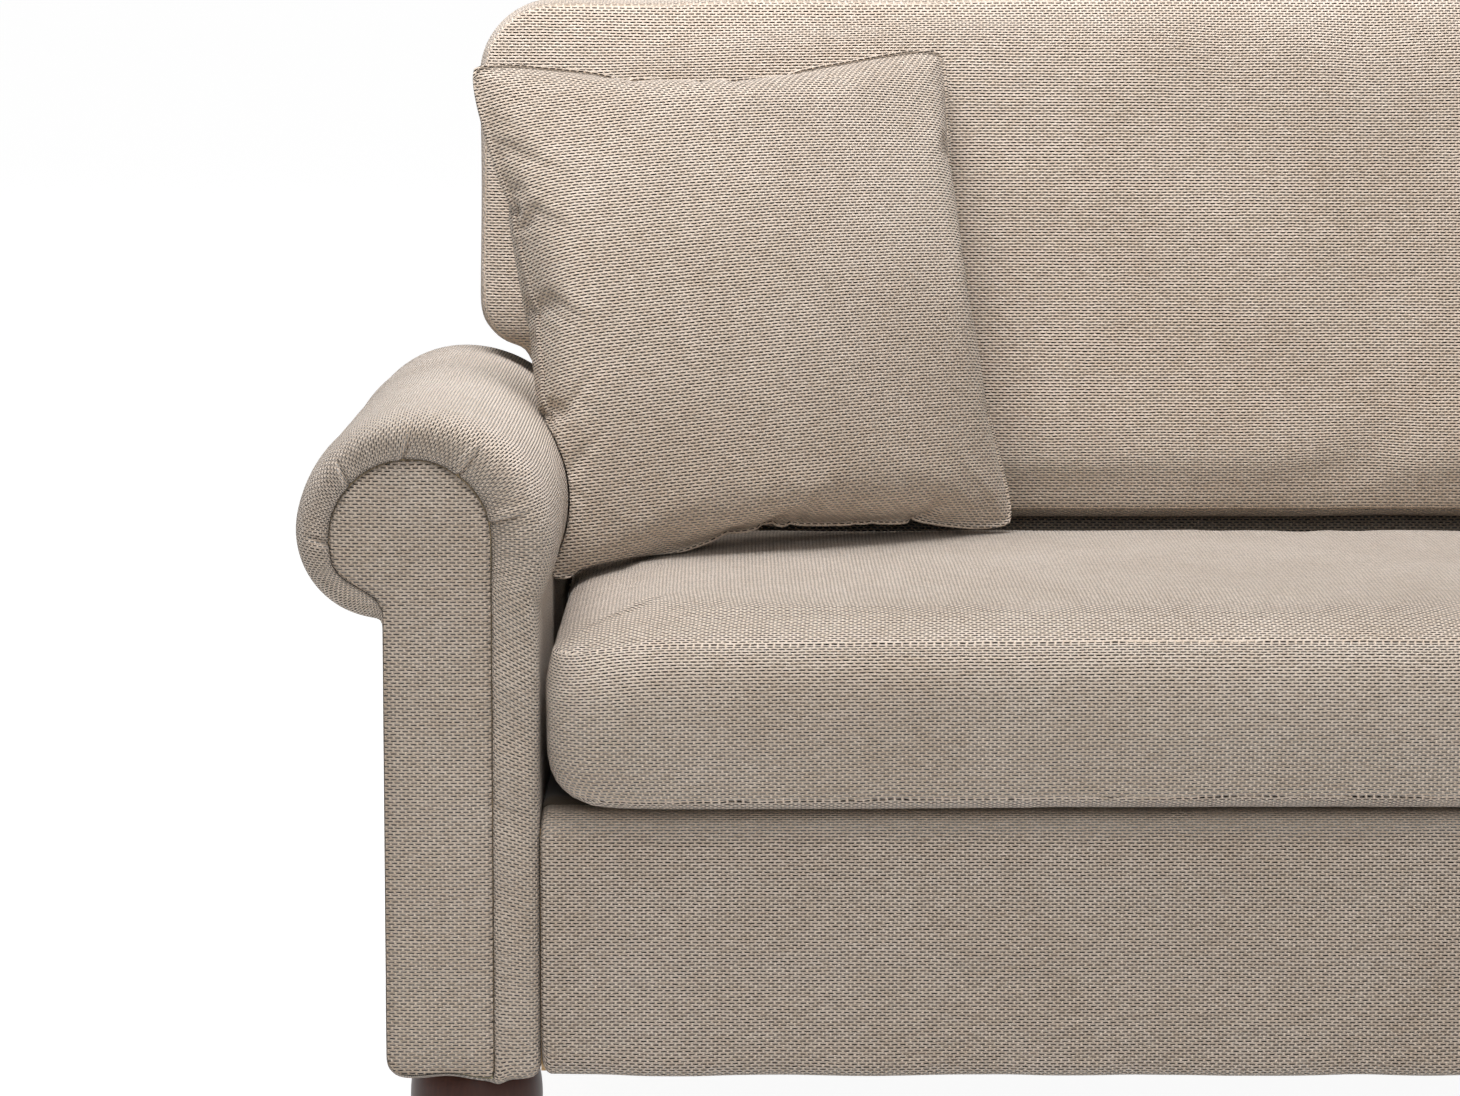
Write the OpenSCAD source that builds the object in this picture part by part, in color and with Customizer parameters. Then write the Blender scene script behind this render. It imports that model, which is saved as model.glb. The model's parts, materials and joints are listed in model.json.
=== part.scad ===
// Three-seater sofa with rolled arms, one long seat cushion, one long back cushion and two throw pillows.
// Millimetres. +X is the width, the front faces -Y, +Z is up, the origin is on the floor under the middle.
// Depths are given as d, counted back from the front plane of the arms.

/* [Overall] */
// Clear width between the arms at the seat
seat_w = 1530; // [1200:10:1900]
// Depth of the base, from the front plane of the arms to the outside of the back
base_d = 710; // [650:5:800]
// Height of the feet
leg_h = 100; // [70:5:150]

/* [Base frame] */
// Height of the upholstered front rail
rail_h = 224; // [180:2:280]
// Thickness of the rail boards
rail_t = 22; // [18:1:30]
// Padding on the front rail
rail_pad_t = 12; // [6:1:20]
// Height of the centre rail under the springs
centre_rail_h = 150; // [100:5:160]
// Thickness of the deck pad over the springs
deck_t = 14; // [8:1:25]
// How far the front rail cover turns in over the top and under the bottom
rail_turn_in = 50; // [30:2:70]
// Leg length of the corner blocks
corner_leg = 70; // [40:5:100]

/* [Arms] */
// Width of the arm below the roll
arm_body_w = 126; // [110:2:160]
// Radius of the roll over the top
roll_r = 107; // [100:1:125]
// Radius where the roll curls under on the outside
curl_r = 70; // [55:1:80]
// Centre of the roll, outward from the inside face of the arm
roll_out = 93; // [88:1:98]
// Centre of the roll, above the bottom of the arm
roll_up = 442; // [380:2:520]
// How far the arms stop short of the back of the base
arm_short = 15; // [8:1:60]
// Thickness of the upholstery fabric with its backing
cover_t = 3; // [2:0.5:4]
// Thickness of the padding under the arm fabric
arm_pad_t = 14; // [8:1:20]
// Thickness of the plywood panels at the ends of the arm
panel_t = 18; // [12:1:25]
// Thickness of the board at the bottom of the arm
arm_base_t = 22; // [18:1:30]
// Side of the square rail under the roll
top_rail_s = 45; // [30:1:60]

/* [Arm front] */
// Radius of the round head of the facing
facing_r = 64; // [50:1:75]
// Centre of the facing's head, outward from the inside face of the arm
facing_out = 104; // [95:1:110]
// Depth of the padded band that is gathered round the facing
band_d = 14; // [8:1:24]
// Depth that the gathering pleats are drawn in
pleat_d = 5; // [1:0.5:8]
// Number of gathering pleats round the scroll
pleat_n = 5; // [3:1:7]

/* [Back frame] */
// Lean of the back from upright, in degrees
lean = 12; // [5:1:18]
// Distance at the seat deck from the front of the back frame to the back of the base
back_set_in = 70; // [62:1:110]
// Height of the back frame along its lean, above the seat deck
back_h = 600; // [450:10:700]
// Radius of the top corners of the back frame
back_corner_r = 60; // [20:5:100]
// Padding in front of the webbing
back_pad_t = 18; // [10:1:30]
// Thickness of the back posts, front to back
post_t = 38; // [25:1:40]
// Width of the back posts
post_w = 60; // [40:2:90]

/* [Suspension] */
// Number of sinuous springs
spring_n = 9; // [5:1:12]
// Loops in each spring
spring_loops = 11; // [7:1:15]
// Width of a spring from bend to bend
spring_w = 46; // [36:1:56]
// Thickness of the spring wire
wire_t = 4; // [3:0.5:5]
// Number of upright webbing straps in the back
strap_n = 8; // [4:1:12]
// Width of a webbing strap
strap_w = 60; // [40:5:80]

/* [Seat cushion] */
// Overhang of the cushion in front of the arms
seat_overhang = 18; // [5:1:40]
// Height of the boxing between the two seams
seat_boxing = 126; // [90:2:160]
// Rise of the crown above the upper seam
seat_crown = 26; // [10:1:40]
// Rise from the bottom to the lower seam
seat_under = 13; // [5:1:20]
// Corner radius of the seat cushion in plan
seat_corner_r = 42; // [20:2:60]
// How far the sides draw in between the corners
seat_draw = 5; // [0:1:12]

/* [Back cushion] */
// Height of the back cushion
back_cushion_h = 486; // [400:2:560]
// Thickness of the back cushion at its seams
back_boxing = 96; // [70:2:140]
// Rise of the crown in front of the front seam
back_crown = 30; // [10:1:45]
// How far the upper corners reach out over the arms
ear_out = 82; // [60:2:100]
// Radius of the top corners of the back cushion
back_top_r = 72; // [40:2:100]

/* [Throw pillows] */
// Side of the square pillow, corner to corner along an edge
pillow_s = 450; // [350:10:550]
// Thickness of a plumped pillow
pillow_t = 150; // [90:5:190]
// How far the edges draw in between the corners
pillow_draw = 17; // [5:1:30]
// Turn of the pillow in its own plane, towards the arm
pillow_roll = 2.5; // [0:0.5:12]
// Lean of the pillow from upright
pillow_lean = 16.5; // [12:0.5:30]
// Turn of the pillow towards the middle of the sofa
pillow_yaw = 28; // [0:1:30]

/* [Feet] */
// Radius of the foot at its top
foot_top_r = 48; // [40:1:55]
// Radius of the foot at its fullest
foot_bun_r = 55; // [48:1:60]
// Radius of the foot at its neck
foot_neck_r = 27; // [20:1:35]
// Thickness of the glide under each foot
glide_t = 4; // [2:1:8]
// Centre of a foot, outward from the inside face of the arm
foot_out = 56; // [50:1:70]
// Centre of the front feet, behind the front plane
foot_front_d = 72; // [60:2:100]
// Centre of the rear feet, in front of the back end of the arm
foot_rear_in = 72; // [60:2:100]
// Centre of the middle foot, behind the front plane
foot_centre_d = 470; // [420:10:520]
// Radius of the bolts
bolt_r = 4; // [3:0.5:5]

/* [Zips] */
// Width of the zip tape
zip_w = 24; // [18:1:30]
// Room beyond each end of the seat cushion's zip
seat_zip_in = 164; // [150:2:500]
// Room beyond each end of the back cushion's zip
back_zip_in = 199; // [180:1:500]

/* [Hidden] */
$fn = 48;

// Clearances
touch = 0.3;
soft_gap = 0.6;
eps = 1;

// Heights above the floor
deck_z = leg_h + rail_h;
rail_top_z = deck_z - deck_t - 6;
seat_z = deck_z + touch;
seat_top_z = seat_z + seat_under + seat_boxing + seat_crown;
half_w = seat_w / 2;

// Depths that follow from the depth of the base
arm_d = base_d - arm_short;
back_front_d = base_d - back_set_in;

// Layers of the back frame, and the depth of its front plane at a height
back_cover_t = 2.5;
back_web_t = 3;
back_t = back_cover_t + back_pad_t + back_web_t + post_t + back_cover_t;
function back_plane_d(z) = back_front_d + (z - deck_z) * tan(lean);

// The front plane of the arms, set so that the whole sofa is centred on the origin
front_y = (seat_overhang - back_front_d - back_t * cos(lean) - back_h * sin(lean)) / 2;
function Y(d) = front_y + d;

fabric = "#b3a08c";
timber = "#c9a877";
foam = "#e8ddb8";
stained = "#3a2019";
steel = "#9a9da0";

// Outlines

// Point on a circle
function on_circle(c, r, a) = [c[0] + r * cos(a), c[1] + r * sin(a)];

// Points along an arc, both ends included
function arc(c, r, a0, a1, n) = [for (k = [0:n]) on_circle(c, r, a0 + (a1 - a0) * k / n)];

// Points between two points, the ends left out
function between(p, q, n) = [for (k = [1:n]) p + (q - p) * k / (n + 1)];

// Blend of two outlines with the same number of points
function blend(a, b, t) = [for (k = [0:len(a) - 1]) a[k] * (1 - t) + b[k] * t];

// An outline moved inward by e along the normal at each point, for an outline that runs anticlockwise
function unit(v) = v / max(norm(v), 0.000001);
function inward(p, e) = [
    for (k = [0:len(p) - 1])
        let (
            a = p[(k + len(p) - 1) % len(p)],
            b = p[(k + 1) % len(p)],
            t = unit(b - a)
        )
        p[k] + e * [-t[1], t[0]]
];

// Faces of a skin over rings of n points: each ring is joined to the next, in triangles
function ring_faces(n, m) = [
    for (k = [0:m - 2], j = [0:n - 1])
        let (a = k * n + j, b = k * n + (j + 1) % n)
        each [[a, b, a + n], [b, b + n, a + n]]
];

function mean(points) = [for (axis = [0:2]) [for (p = points) p[axis]] * [for (p = points) 1] / len(points)];

// Solid between a first and a last ring, each closed by a fan about its centre. Seen from the last ring,
// the rings run clockwise, or anticlockwise where turned is true
module skin(rings, turned = false) {
    n = len(rings[0]);
    m = len(rings);
    points = concat([for (r = rings) each r], [mean(rings[0]), mean(rings[m - 1])]);
    start = [for (j = [0:n - 1]) [n * m, (j + 1) % n, j]];
    end = [for (j = [0:n - 1]) [n * m + 1, n * (m - 1) + j, n * (m - 1) + (j + 1) % n]];
    faces = concat(start, ring_faces(n, m), end);
    polyhedron(points, turned ? [for (f = faces) [f[0], f[2], f[1]]] : faces);
}

// Closed sleeve: the last ring joins the first
module sleeve(rings) {
    n = len(rings[0]);
    m = len(rings);
    points = [for (r = rings) each r];
    faces = [
        for (k = [0:m - 1], j = [0:n - 1])
            let (
                next = (k + 1) % m,
                a = k * n + j,
                b = k * n + (j + 1) % n,
                c = next * n + j,
                e = next * n + (j + 1) % n
            )
            each [[a, b, c], [b, e, c]]
    ];
    polyhedron(points, faces);
}

// A profile in width and height, carried along the depth from d0 to d1
module along_depth(d0, d1) {
    translate([0, Y(d1), 0])
        rotate([90, 0, 0])
            linear_extrude(d1 - d0)
                children();
}

// A profile in depth and height, carried along the width from x0 to x1
module along_width(x0, x1) {
    translate([x0, front_y, 0])
        rotate([90, 0, 90])
            linear_extrude(x1 - x0)
                children();
}

// A block between two corners given as [x, d, z]
module block(a, b) {
    translate([a[0], Y(a[1]), a[2]])
        cube([b[0] - a[0], b[1] - a[1], b[2] - a[2]]);
}

// The right-hand piece, and its twin on the left
module left_side() {
    mirror([1, 0, 0])
        children();
}

// Arms, drawn for the right-hand side

roll_z = leg_h + roll_up;
roll_c = [half_w + roll_out, roll_z];
curl_from = 10;
curl_c = roll_c + (roll_r - curl_r) * [cos(curl_from), sin(curl_from)];
facing_c = [half_w + facing_out, roll_z];
facing_in = facing_out - facing_r;
facing_groove = 1.5;
facing_hem = cover_t + facing_groove;
roll_start = 180 + asin(sqrt(1 - pow(roll_out / roll_r, 2)));
roll_end = -90 - asin((curl_c[0] - half_w - arm_body_w) / curl_r);
pleat_first = 168;
pleat_last = 2;
pleat_gap = (pleat_first - pleat_last) / (pleat_n - 1);
pleat_half = 4;

// Angles round the scroll, closer together at each pleat
scroll_angles = concat(
    [roll_start, (roll_start + 180) / 2, 180],
    [
        for (k = [0:pleat_n - 1])
            let (a = pleat_first - k * pleat_gap)
            each [a + pleat_half, a, a - pleat_half, a - pleat_gap * 0.37, a - pleat_gap * 0.63]
    ],
    [for (k = [1:4]) let (a = pleat_last - pleat_gap * 0.63) a + (roll_end - a) * k / 4]
);

function is_pleat(a) = max([for (k = [0:pleat_n - 1]) abs(a - pleat_first + k * pleat_gap) < 0.01 ? 1 : 0]);

// Arm outline inset by i, with its bottom raised by b: up the inside, round the scroll, down the outside
function scroll_point(a, i) =
    a > curl_from ? on_circle(roll_c, roll_r - i, a) : on_circle(curl_c, curl_r - i, a);
function arm_outline(i, b) = [
    [half_w + i, leg_h + b],
    each between([half_w + i, leg_h + b], [half_w + i, scroll_point(roll_start, i)[1]], 3),
    for (k = [0:len(scroll_angles) - 1])
        let (p = scroll_point(scroll_angles[k], i))
        k == 0 ? [max(p[0], half_w + i), p[1]] :
        k == len(scroll_angles) - 1 ? [min(p[0], half_w + arm_body_w - i), p[1]] : p,
    each between(
        [half_w + arm_body_w - i, scroll_point(roll_end, i)[1]],
        [half_w + arm_body_w - i, leg_h + b], 3
    ),
    [half_w + arm_body_w - i, leg_h + b]
];

// Facing outline grown by g, point for point beside the arm outline
facing_end = -52;
facing_edge = cover_t + 3;
function facing_point(a, g) =
    a > 180 ? [facing_c[0] - facing_r - g, facing_c[1] - facing_r * sin(a - 180)] :
    a > facing_end ? on_circle(facing_c, facing_r + g, a) :
    let (
        t = (facing_end - a) / (facing_end - roll_end),
        p = on_circle(facing_c, facing_r + g, facing_end),
        q = [half_w + arm_body_w - facing_edge + g, curl_c[1] - curl_r + 6]
    )
    p * (1 - t) + q * t;
function facing_outline(g, b) = [
    [half_w + facing_in - g, leg_h + b],
    each between([half_w + facing_in - g, leg_h + b], facing_point(roll_start, g), 3),
    for (a = scroll_angles) facing_point(a, g),
    each between(facing_point(roll_end, g), [facing_point(roll_end, g)[0], leg_h + b], 3),
    [facing_point(roll_end, g)[0], leg_h + b]
];

function scroll_count() = len(scroll_angles);

// Depth of the pleat at point k of an outline
function pleat_at(k) = k < 4 || k >= 4 + scroll_count() ? 0 : is_pleat(scroll_angles[k - 4]);

// Ring of the gathered band: t runs from the arm outline to the facing, d is the depth, and dip scales
// the pleats
function band_ring(t, d, dip) =
    let (
        outer = arm_outline(0, 0),
        inner = facing_outline(facing_groove, facing_hem),
        ring = blend(outer, inner, t)
    )
    [for (k = [0:len(ring) - 1]) [ring[k][0], Y(d + dip * pleat_d * pleat_at(k)), ring[k][1]]];
function flat_ring(outline, d) = [for (p = outline) [p[0], Y(d), p[1]]];

// Opening at the back end of the sleeve, closed by the back facing: its inset and the height of its sill
rear_inset = cover_t + 8;
rear_lip = cover_t + 4;

arm_cover_rings = [
    band_ring(0, 60, 0),
    band_ring(0, 20, 0),
    band_ring(0.02, 9, 0.4),
    band_ring(0.09, 3.5, 1),
    band_ring(0.25, 0.5, 1),
    band_ring(0.5, 0, 1),
    band_ring(0.78, 1.5, 0.8),
    band_ring(0.94, 5, 0.3),
    band_ring(1, 9, 0),
    band_ring(1, band_d, 0),
    flat_ring(arm_outline(cover_t, cover_t), band_d),
    flat_ring(arm_outline(cover_t, cover_t), arm_d - cover_t),
    flat_ring(arm_outline(rear_inset, rear_lip), arm_d - cover_t),
    flat_ring(arm_outline(rear_inset - cover_t, cover_t), arm_d),
    flat_ring(arm_outline(2.5, 0), arm_d - 2),
    flat_ring(arm_outline(0, 0), arm_d - 9)
];

// Opening under the arm where the fabric is folded under and fixed
under_fold = 20;
module arm_under() {
    block(
        [half_w + under_fold, under_fold, leg_h - eps],
        [half_w + arm_body_w - under_fold, arm_d - under_fold, leg_h + cover_t]
    );
}

// Bolts that pull each arm against its side rail
arm_bolt_z = leg_h + cover_t + arm_base_t / 2;
arm_bolt_in = 150;
arm_bolt_d = [arm_bolt_in, arm_d - arm_bolt_in];
arm_bolt_bite = 30;
arm_bolt_l = rail_t + cover_t + arm_pad_t + arm_bolt_bite;
module arm_bolt_holes(r) {
    for (d = arm_bolt_d)
        translate([half_w - rail_t - eps, Y(d), arm_bolt_z])
            rotate([0, 90, 0])
                cylinder(r = r, h = arm_bolt_l + eps);
}

module arm_cover() {
    color(fabric)
        difference() {
            sleeve(arm_cover_rings);
            arm_under();
            arm_bolt_holes(bolt_r);
        }
}

// Padding wrapped round the wooden core, as thick all round
core_inset = cover_t + arm_pad_t;
module arm_padding() {
    color(foam)
        difference() {
            along_depth(band_d, arm_d - cover_t)
                difference() {
                    polygon(arm_outline(cover_t, cover_t));
                    polygon(arm_outline(core_inset, 0));
                }
            arm_bolt_holes(bolt_r);
        }
}

// Scroll-cut plywood end panel, with a sawn opening that saves weight
module arm_panel(d) {
    opening_w = 40;
    opening_z = leg_h + 90;
    opening_h = 170;
    mid = half_w + arm_body_w / 2;
    color(timber)
        along_depth(d, d + panel_t)
            difference() {
                polygon(arm_outline(core_inset, cover_t));
                for (z = [opening_z, opening_z + opening_h])
                    translate([mid, z])
                        circle(r = opening_w / 2);
                translate([mid - opening_w / 2, opening_z])
                    square([opening_w, opening_h]);
            }
}

front_panel_d = band_d;
rear_panel_d = arm_d - cover_t - panel_t;
inner_d0 = front_panel_d + panel_t;
inner_d1 = rear_panel_d;

function foot_d(k) = k == 0 ? foot_front_d : arm_d - foot_rear_in;

// Board along the bottom of the arm, between the end panels
module arm_base() {
    color(timber)
        difference() {
            block(
                [half_w + core_inset, inner_d0, leg_h + cover_t],
                [half_w + arm_body_w - core_inset, inner_d1, leg_h + cover_t + arm_base_t]
            );
            arm_bolt_holes(bolt_r);
            for (k = [0, 1])
                foot_bore(k, nut_r);
        }
}

module foot_bore(k, r) {
    translate([half_w + foot_out, Y(foot_d(k)), leg_h - eps])
        cylinder(r = r, h = cover_t + arm_base_t + 2 * eps);
}

// Square rail that joins the end panels under the roll
top_rail_down = 12;
module arm_top_rail() {
    z1 = roll_z + roll_r - core_inset - top_rail_down;
    color(timber)
        block(
            [roll_c[0] - top_rail_s / 2, inner_d0, z1 - top_rail_s],
            [roll_c[0] + top_rail_s / 2, inner_d1, z1]
        );
}

facing_bottom = facing_hem + facing_groove;
module arm_facing() {
    color(fabric)
        skin([
            flat_ring(facing_outline(0, facing_bottom), band_d),
            flat_ring(facing_outline(0, facing_bottom), 9),
            flat_ring(facing_outline(-1.5, facing_bottom + 1.5), 6),
            flat_ring(facing_outline(-5, facing_bottom + 4), 4.5),
            flat_ring(facing_outline(-14, facing_bottom + 12), 3.8)
        ]);
}

module arm_back_facing() {
    color(fabric)
        along_depth(arm_d - cover_t, arm_d)
            polygon(arm_outline(rear_inset, rear_lip));
}

module arm_bolts() {
    head_r = 9;
    head_t = 4;
    color(steel)
        for (side = [0, 1])
            mirror([side, 0, 0])
                for (d = arm_bolt_d)
                    translate([half_w - rail_t, Y(d), arm_bolt_z])
                        rotate([0, 90, 0]) {
                            cylinder(r = bolt_r, h = arm_bolt_l);
                            translate([0, 0, -head_t])
                                cylinder(r = head_r, h = head_t);
                        }
}

// Base frame

rail_face_d = 2;
front_rail_d = rail_face_d + cover_t + rail_pad_t;
rear_rail_d1 = base_d - cover_t;
rear_rail_d0 = rear_rail_d1 - rail_t;
bearer_out = 10;
deck_rail_d0 = back_front_d - bearer_out;
deck_rail_h = 100;
rail_bottom_z = leg_h + cover_t;

module front_rail() {
    color(timber)
        block(
            [-half_w + rail_t, front_rail_d, rail_bottom_z],
            [half_w - rail_t, front_rail_d + rail_t, rail_top_z]
        );
}

module back_rail() {
    color(timber)
        block(
            [-half_w + rail_t, rear_rail_d0, rail_bottom_z],
            [half_w - rail_t, rear_rail_d1, rail_top_z]
        );
}

module side_rail() {
    color(timber)
        difference() {
            block([half_w - rail_t, front_rail_d, rail_bottom_z], [half_w, rear_rail_d1, rail_top_z]);
            arm_bolt_holes(bolt_r);
        }
}

// Bearer under the back frame, which also holds the rear ends of the springs
module rear_deck_rail() {
    color(timber)
        difference() {
            block(
                [-half_w + rail_t, deck_rail_d0, rail_top_z - deck_rail_h],
                [half_w - rail_t, rear_rail_d0, rail_top_z]
            );
            back_bolt_holes(bolt_r);
        }
}

// Rail on edge under the springs, with a foot block as wide as a hand where the middle foot is bolted on
module centre_rail() {
    pad = 45;
    color(timber)
        difference() {
            union() {
                block(
                    [-rail_t / 2, front_rail_d + rail_t, rail_bottom_z],
                    [rail_t / 2, deck_rail_d0, rail_bottom_z + centre_rail_h]
                );
                block(
                    [-pad, foot_centre_d - pad, rail_bottom_z],
                    [pad, foot_centre_d + pad, rail_bottom_z + rail_t]
                );
            }
            translate([0, Y(foot_centre_d), leg_h])
                cylinder(r = bolt_r, h = foot_bolt_up - leg_h);
        }
}

// Triangular glue blocks inside the four corners
module corner_blocks() {
    block_h = 95;
    color(timber)
        for (side = [0, 1], rear = [0, 1])
            mirror([side, 0, 0])
                translate([half_w - rail_t, Y(rear ? rear_rail_d0 : front_rail_d + rail_t), rail_bottom_z])
                    mirror([0, rear, 0])
                        linear_extrude(block_h)
                            polygon([[0, 0], [-corner_leg, 0], [0, corner_leg]]);
}

// Sinuous springs: flat zigzags of round bends, front rail to rear deck rail

clip_w = 22;
clip_t = 1.2;
clip_l = 12;
spring_z = rail_top_z + wire_t;
clip_top_z = spring_z + wire_t / 2 + clip_t;
spring_d0 = front_rail_d + 6;
spring_d1 = deck_rail_d0 + 18;
spring_pitch = (spring_d1 - spring_d0) / spring_loops;
spring_side = 6;

// Centre line of a spring: it swings from side to side as it goes back, with full round bends
function spring_line(s) = [
    spring_w / 2 * sin(180 * s) * (1 + 0.25 * pow(cos(180 * s), 2)),
    spring_d0 + spring_pitch * (s - 0.16 * sin(360 * s))
];
function spring_edge(side) = [
    for (k = [0:spring_loops * spring_side])
        let (
            s = k / spring_side,
            t = unit(spring_line(s + 0.01) - spring_line(s - 0.01))
        )
        spring_line(s) + side * wire_t / 2 * [-t[1], t[0]]
];
function reversed(p) = [for (k = [len(p) - 1:-1:0]) p[k]];
function spring_x(k) = (k - (spring_n - 1) / 2) * (seat_w - 2 * rail_t) / spring_n;

module seat_springs() {
    color(steel)
        for (k = [0:spring_n - 1])
            translate([spring_x(k), front_y, spring_z - wire_t / 2])
                linear_extrude(wire_t)
                    polygon(concat(spring_edge(1), reversed(spring_edge(-1))));
}

// Clips that hold both ends of each spring down on the rails
module spring_clips() {
    color(steel)
        for (k = [0:spring_n - 1], rear = [0, 1])
            let (d = rear ? spring_d1 - clip_l : spring_d0)
            difference() {
                block(
                    [spring_x(k) - clip_w / 2, d, rail_top_z],
                    [spring_x(k) + clip_w / 2, d + clip_l, clip_top_z]
                );
                block(
                    [spring_x(k) - clip_w / 2 - eps, d - eps, spring_z - wire_t / 2],
                    [spring_x(k) + clip_w / 2 + eps, d + clip_l + eps, spring_z + wire_t / 2]
                );
            }
}

// Pad that lies on the springs, from the front rail's turned-in cover to the clips at the back
module seat_deck() {
    clear = 1;
    color(foam)
        block(
            [-half_w + clear, rail_turn_in, deck_z - deck_t],
            [half_w - clear, spring_d1 - clip_l - clear, deck_z]
        );
}

// Thin cloth under the base, stapled up to the rails' bottom edges
dust_t = 2;
module dust_cover() {
    lap = 10;
    color("#3b3a38")
        difference() {
            block(
                [-half_w + rail_t - lap, rail_hem_d + eps, rail_bottom_z - dust_t],
                [half_w - rail_t + lap, rear_rail_d0 + lap, rail_bottom_z]
            );
            translate([0, Y(foot_centre_d), leg_h])
                cylinder(r = bolt_r, h = cover_t + eps);
        }
}

// Front rail padding and cover: the profile runs up the front and turns in over the top and under the bottom

round_r = 12;
rail_hem_d = front_rail_d + rail_t - 6;

// Filled outline of the covered rail, inset by i, with rounded front edges
module rail_profile(i) {
    x0 = rail_face_d + i;
    z0 = leg_h + i;
    z1 = deck_z - i;
    r = round_r - i;
    for (z = [z0 + r, z1 - r])
        translate([x0 + r, z])
            circle(r = r);
    translate([x0 + r, z0])
        square([rail_turn_in - x0 - r, z1 - z0]);
    translate([x0, z0 + r])
        square([r + eps, z1 - z0 - 2 * r]);
}

module front_rail_cover() {
    color(fabric)
        along_width(-half_w + soft_gap, half_w - soft_gap)
            difference() {
                rail_profile(0);
                rail_profile(cover_t);
                translate([rail_turn_in - 2 * eps, leg_h + cover_t])
                    square([4 * eps, rail_h - 2 * cover_t]);
                translate([rail_hem_d, leg_h - eps])
                    square([rail_turn_in, cover_t + 2 * eps]);
            }
}

module front_rail_pad() {
    color(foam)
        along_width(-half_w + soft_gap, half_w - soft_gap)
            difference() {
                rail_profile(cover_t);
                translate([front_rail_d, leg_h])
                    square([rail_turn_in, clip_top_z - leg_h]);
            }
}

// Fabric across the back of the base, turned round both corners behind the arms
module rear_rail_cover() {
    z1 = deck_z + 5;
    color(fabric) {
        block([-half_w - cover_t, rear_rail_d1, leg_h], [half_w + cover_t, base_d, z1]);
        for (side = [0, 1])
            mirror([side, 0, 0])
                block([half_w, arm_d + soft_gap, leg_h], [half_w + cover_t, rear_rail_d1 + eps, z1]);
    }
}

// Feet: a turned bun with a neck and a ring at its base

foot_bolt_down = 40;
foot_bolt_up = leg_h + cover_t + arm_base_t;

// Half outline of a foot: a ring at the floor, a neck, the bun and its shoulder
module foot_profile() {
    z0 = glide_t;
    bun_h = 30;
    bun_z = leg_h - bun_h;
    bead_r = 6;
    bead_x = foot_neck_r + 2;
    neck_z = z0 + 20;
    shoulder_n = 10;
    shoulder_in = foot_bun_r - foot_top_r;
    polygon([
        [0, z0],
        [bead_x + 2, z0],
        each arc([bead_x, z0 + bead_r], bead_r, -60, 80, 8),
        [foot_neck_r, neck_z - 4],
        [foot_neck_r, neck_z],
        each arc([foot_bun_r - bun_h, bun_z], bun_h, -70, 0, 12),
        each [
            for (k = [1:shoulder_n])
                let (a = 90 * k / shoulder_n)
                [foot_top_r + shoulder_in * cos(a), bun_z + bun_h * sin(a)]
        ],
        [0, leg_h]
    ]);
}

module turned_foot() {
    color(stained)
        difference() {
            rotate_extrude($fn = 96)
                foot_profile();
            translate([0, 0, leg_h - foot_bolt_down])
                cylinder(r = bolt_r, h = foot_bolt_down + eps);
        }
}

module arm_foot(k) {
    translate([half_w + foot_out, Y(foot_d(k)), 0])
        turned_foot();
}

// Plain round block under the middle of the base
centre_foot_r = [22, 27];
module centre_foot() {
    top_z = rail_bottom_z - dust_t;
    color(stained)
        translate([0, Y(foot_centre_d), 0])
            difference() {
                translate([0, 0, glide_t])
                    cylinder(r1 = centre_foot_r[0], r2 = centre_foot_r[1], h = top_z - glide_t);
                translate([0, 0, leg_h - foot_bolt_down])
                    cylinder(r = bolt_r, h = foot_bolt_down + 2 * eps);
            }
}

// Places of the four feet under the arms
module at_feet() {
    for (side = [0, 1], k = [0, 1])
        mirror([side, 0, 0])
            translate([half_w + foot_out, Y(foot_d(k)), 0])
                children();
}

// Steel plates between the feet and the bottom boards
module foot_plates() {
    plate = 64;
    color(steel)
        at_feet()
            difference() {
                translate([-plate / 2, -plate / 2, leg_h])
                    cube([plate, plate, cover_t]);
                translate([0, 0, leg_h - eps])
                    cylinder(r = nut_r, h = cover_t + 2 * eps);
            }
}

// Barrel nuts pressed down into the bottom boards, each with a flange on top
nut_r = 5.5;
module foot_nuts() {
    flange_r = 11;
    flange_t = 1.5;
    color(steel)
        at_feet()
            difference() {
                union() {
                    translate([0, 0, leg_h])
                        cylinder(r = nut_r, h = cover_t + arm_base_t);
                    translate([0, 0, foot_bolt_up])
                        cylinder(r = flange_r, h = flange_t);
                }
                translate([0, 0, leg_h - eps])
                    cylinder(r = bolt_r, h = cover_t + arm_base_t + flange_t + 2 * eps);
            }
}

// Hanger bolts: half in the foot, half up in the nut
module foot_bolts() {
    color(steel) {
        at_feet()
            translate([0, 0, leg_h - foot_bolt_down])
                cylinder(r = bolt_r, h = foot_bolt_down + cover_t + arm_base_t);
        translate([0, Y(foot_centre_d), leg_h - foot_bolt_down])
            cylinder(r = bolt_r, h = foot_bolt_up - leg_h + foot_bolt_down);
    }
}

// Felt discs the sofa stands on
module glides() {
    color("#2b2a29") {
        at_feet()
            cylinder(r = foot_neck_r, h = glide_t);
        translate([0, Y(foot_centre_d), 0])
            cylinder(r = centre_foot_r[0] - 4, h = glide_t);
    }
}

// Back frame, drawn upright with its front face at y = 0, then leaned back

module leaned() {
    translate([0, Y(back_front_d), deck_z])
        rotate([-lean, 0, 0])
            children();
}

back_half_w = half_w - (roll_r - roll_out) - 2 * soft_gap;
back_low_half_w = half_w - 2 * soft_gap;
back_low_h = 155;
back_taper_h = 211;
below = 40;

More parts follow.
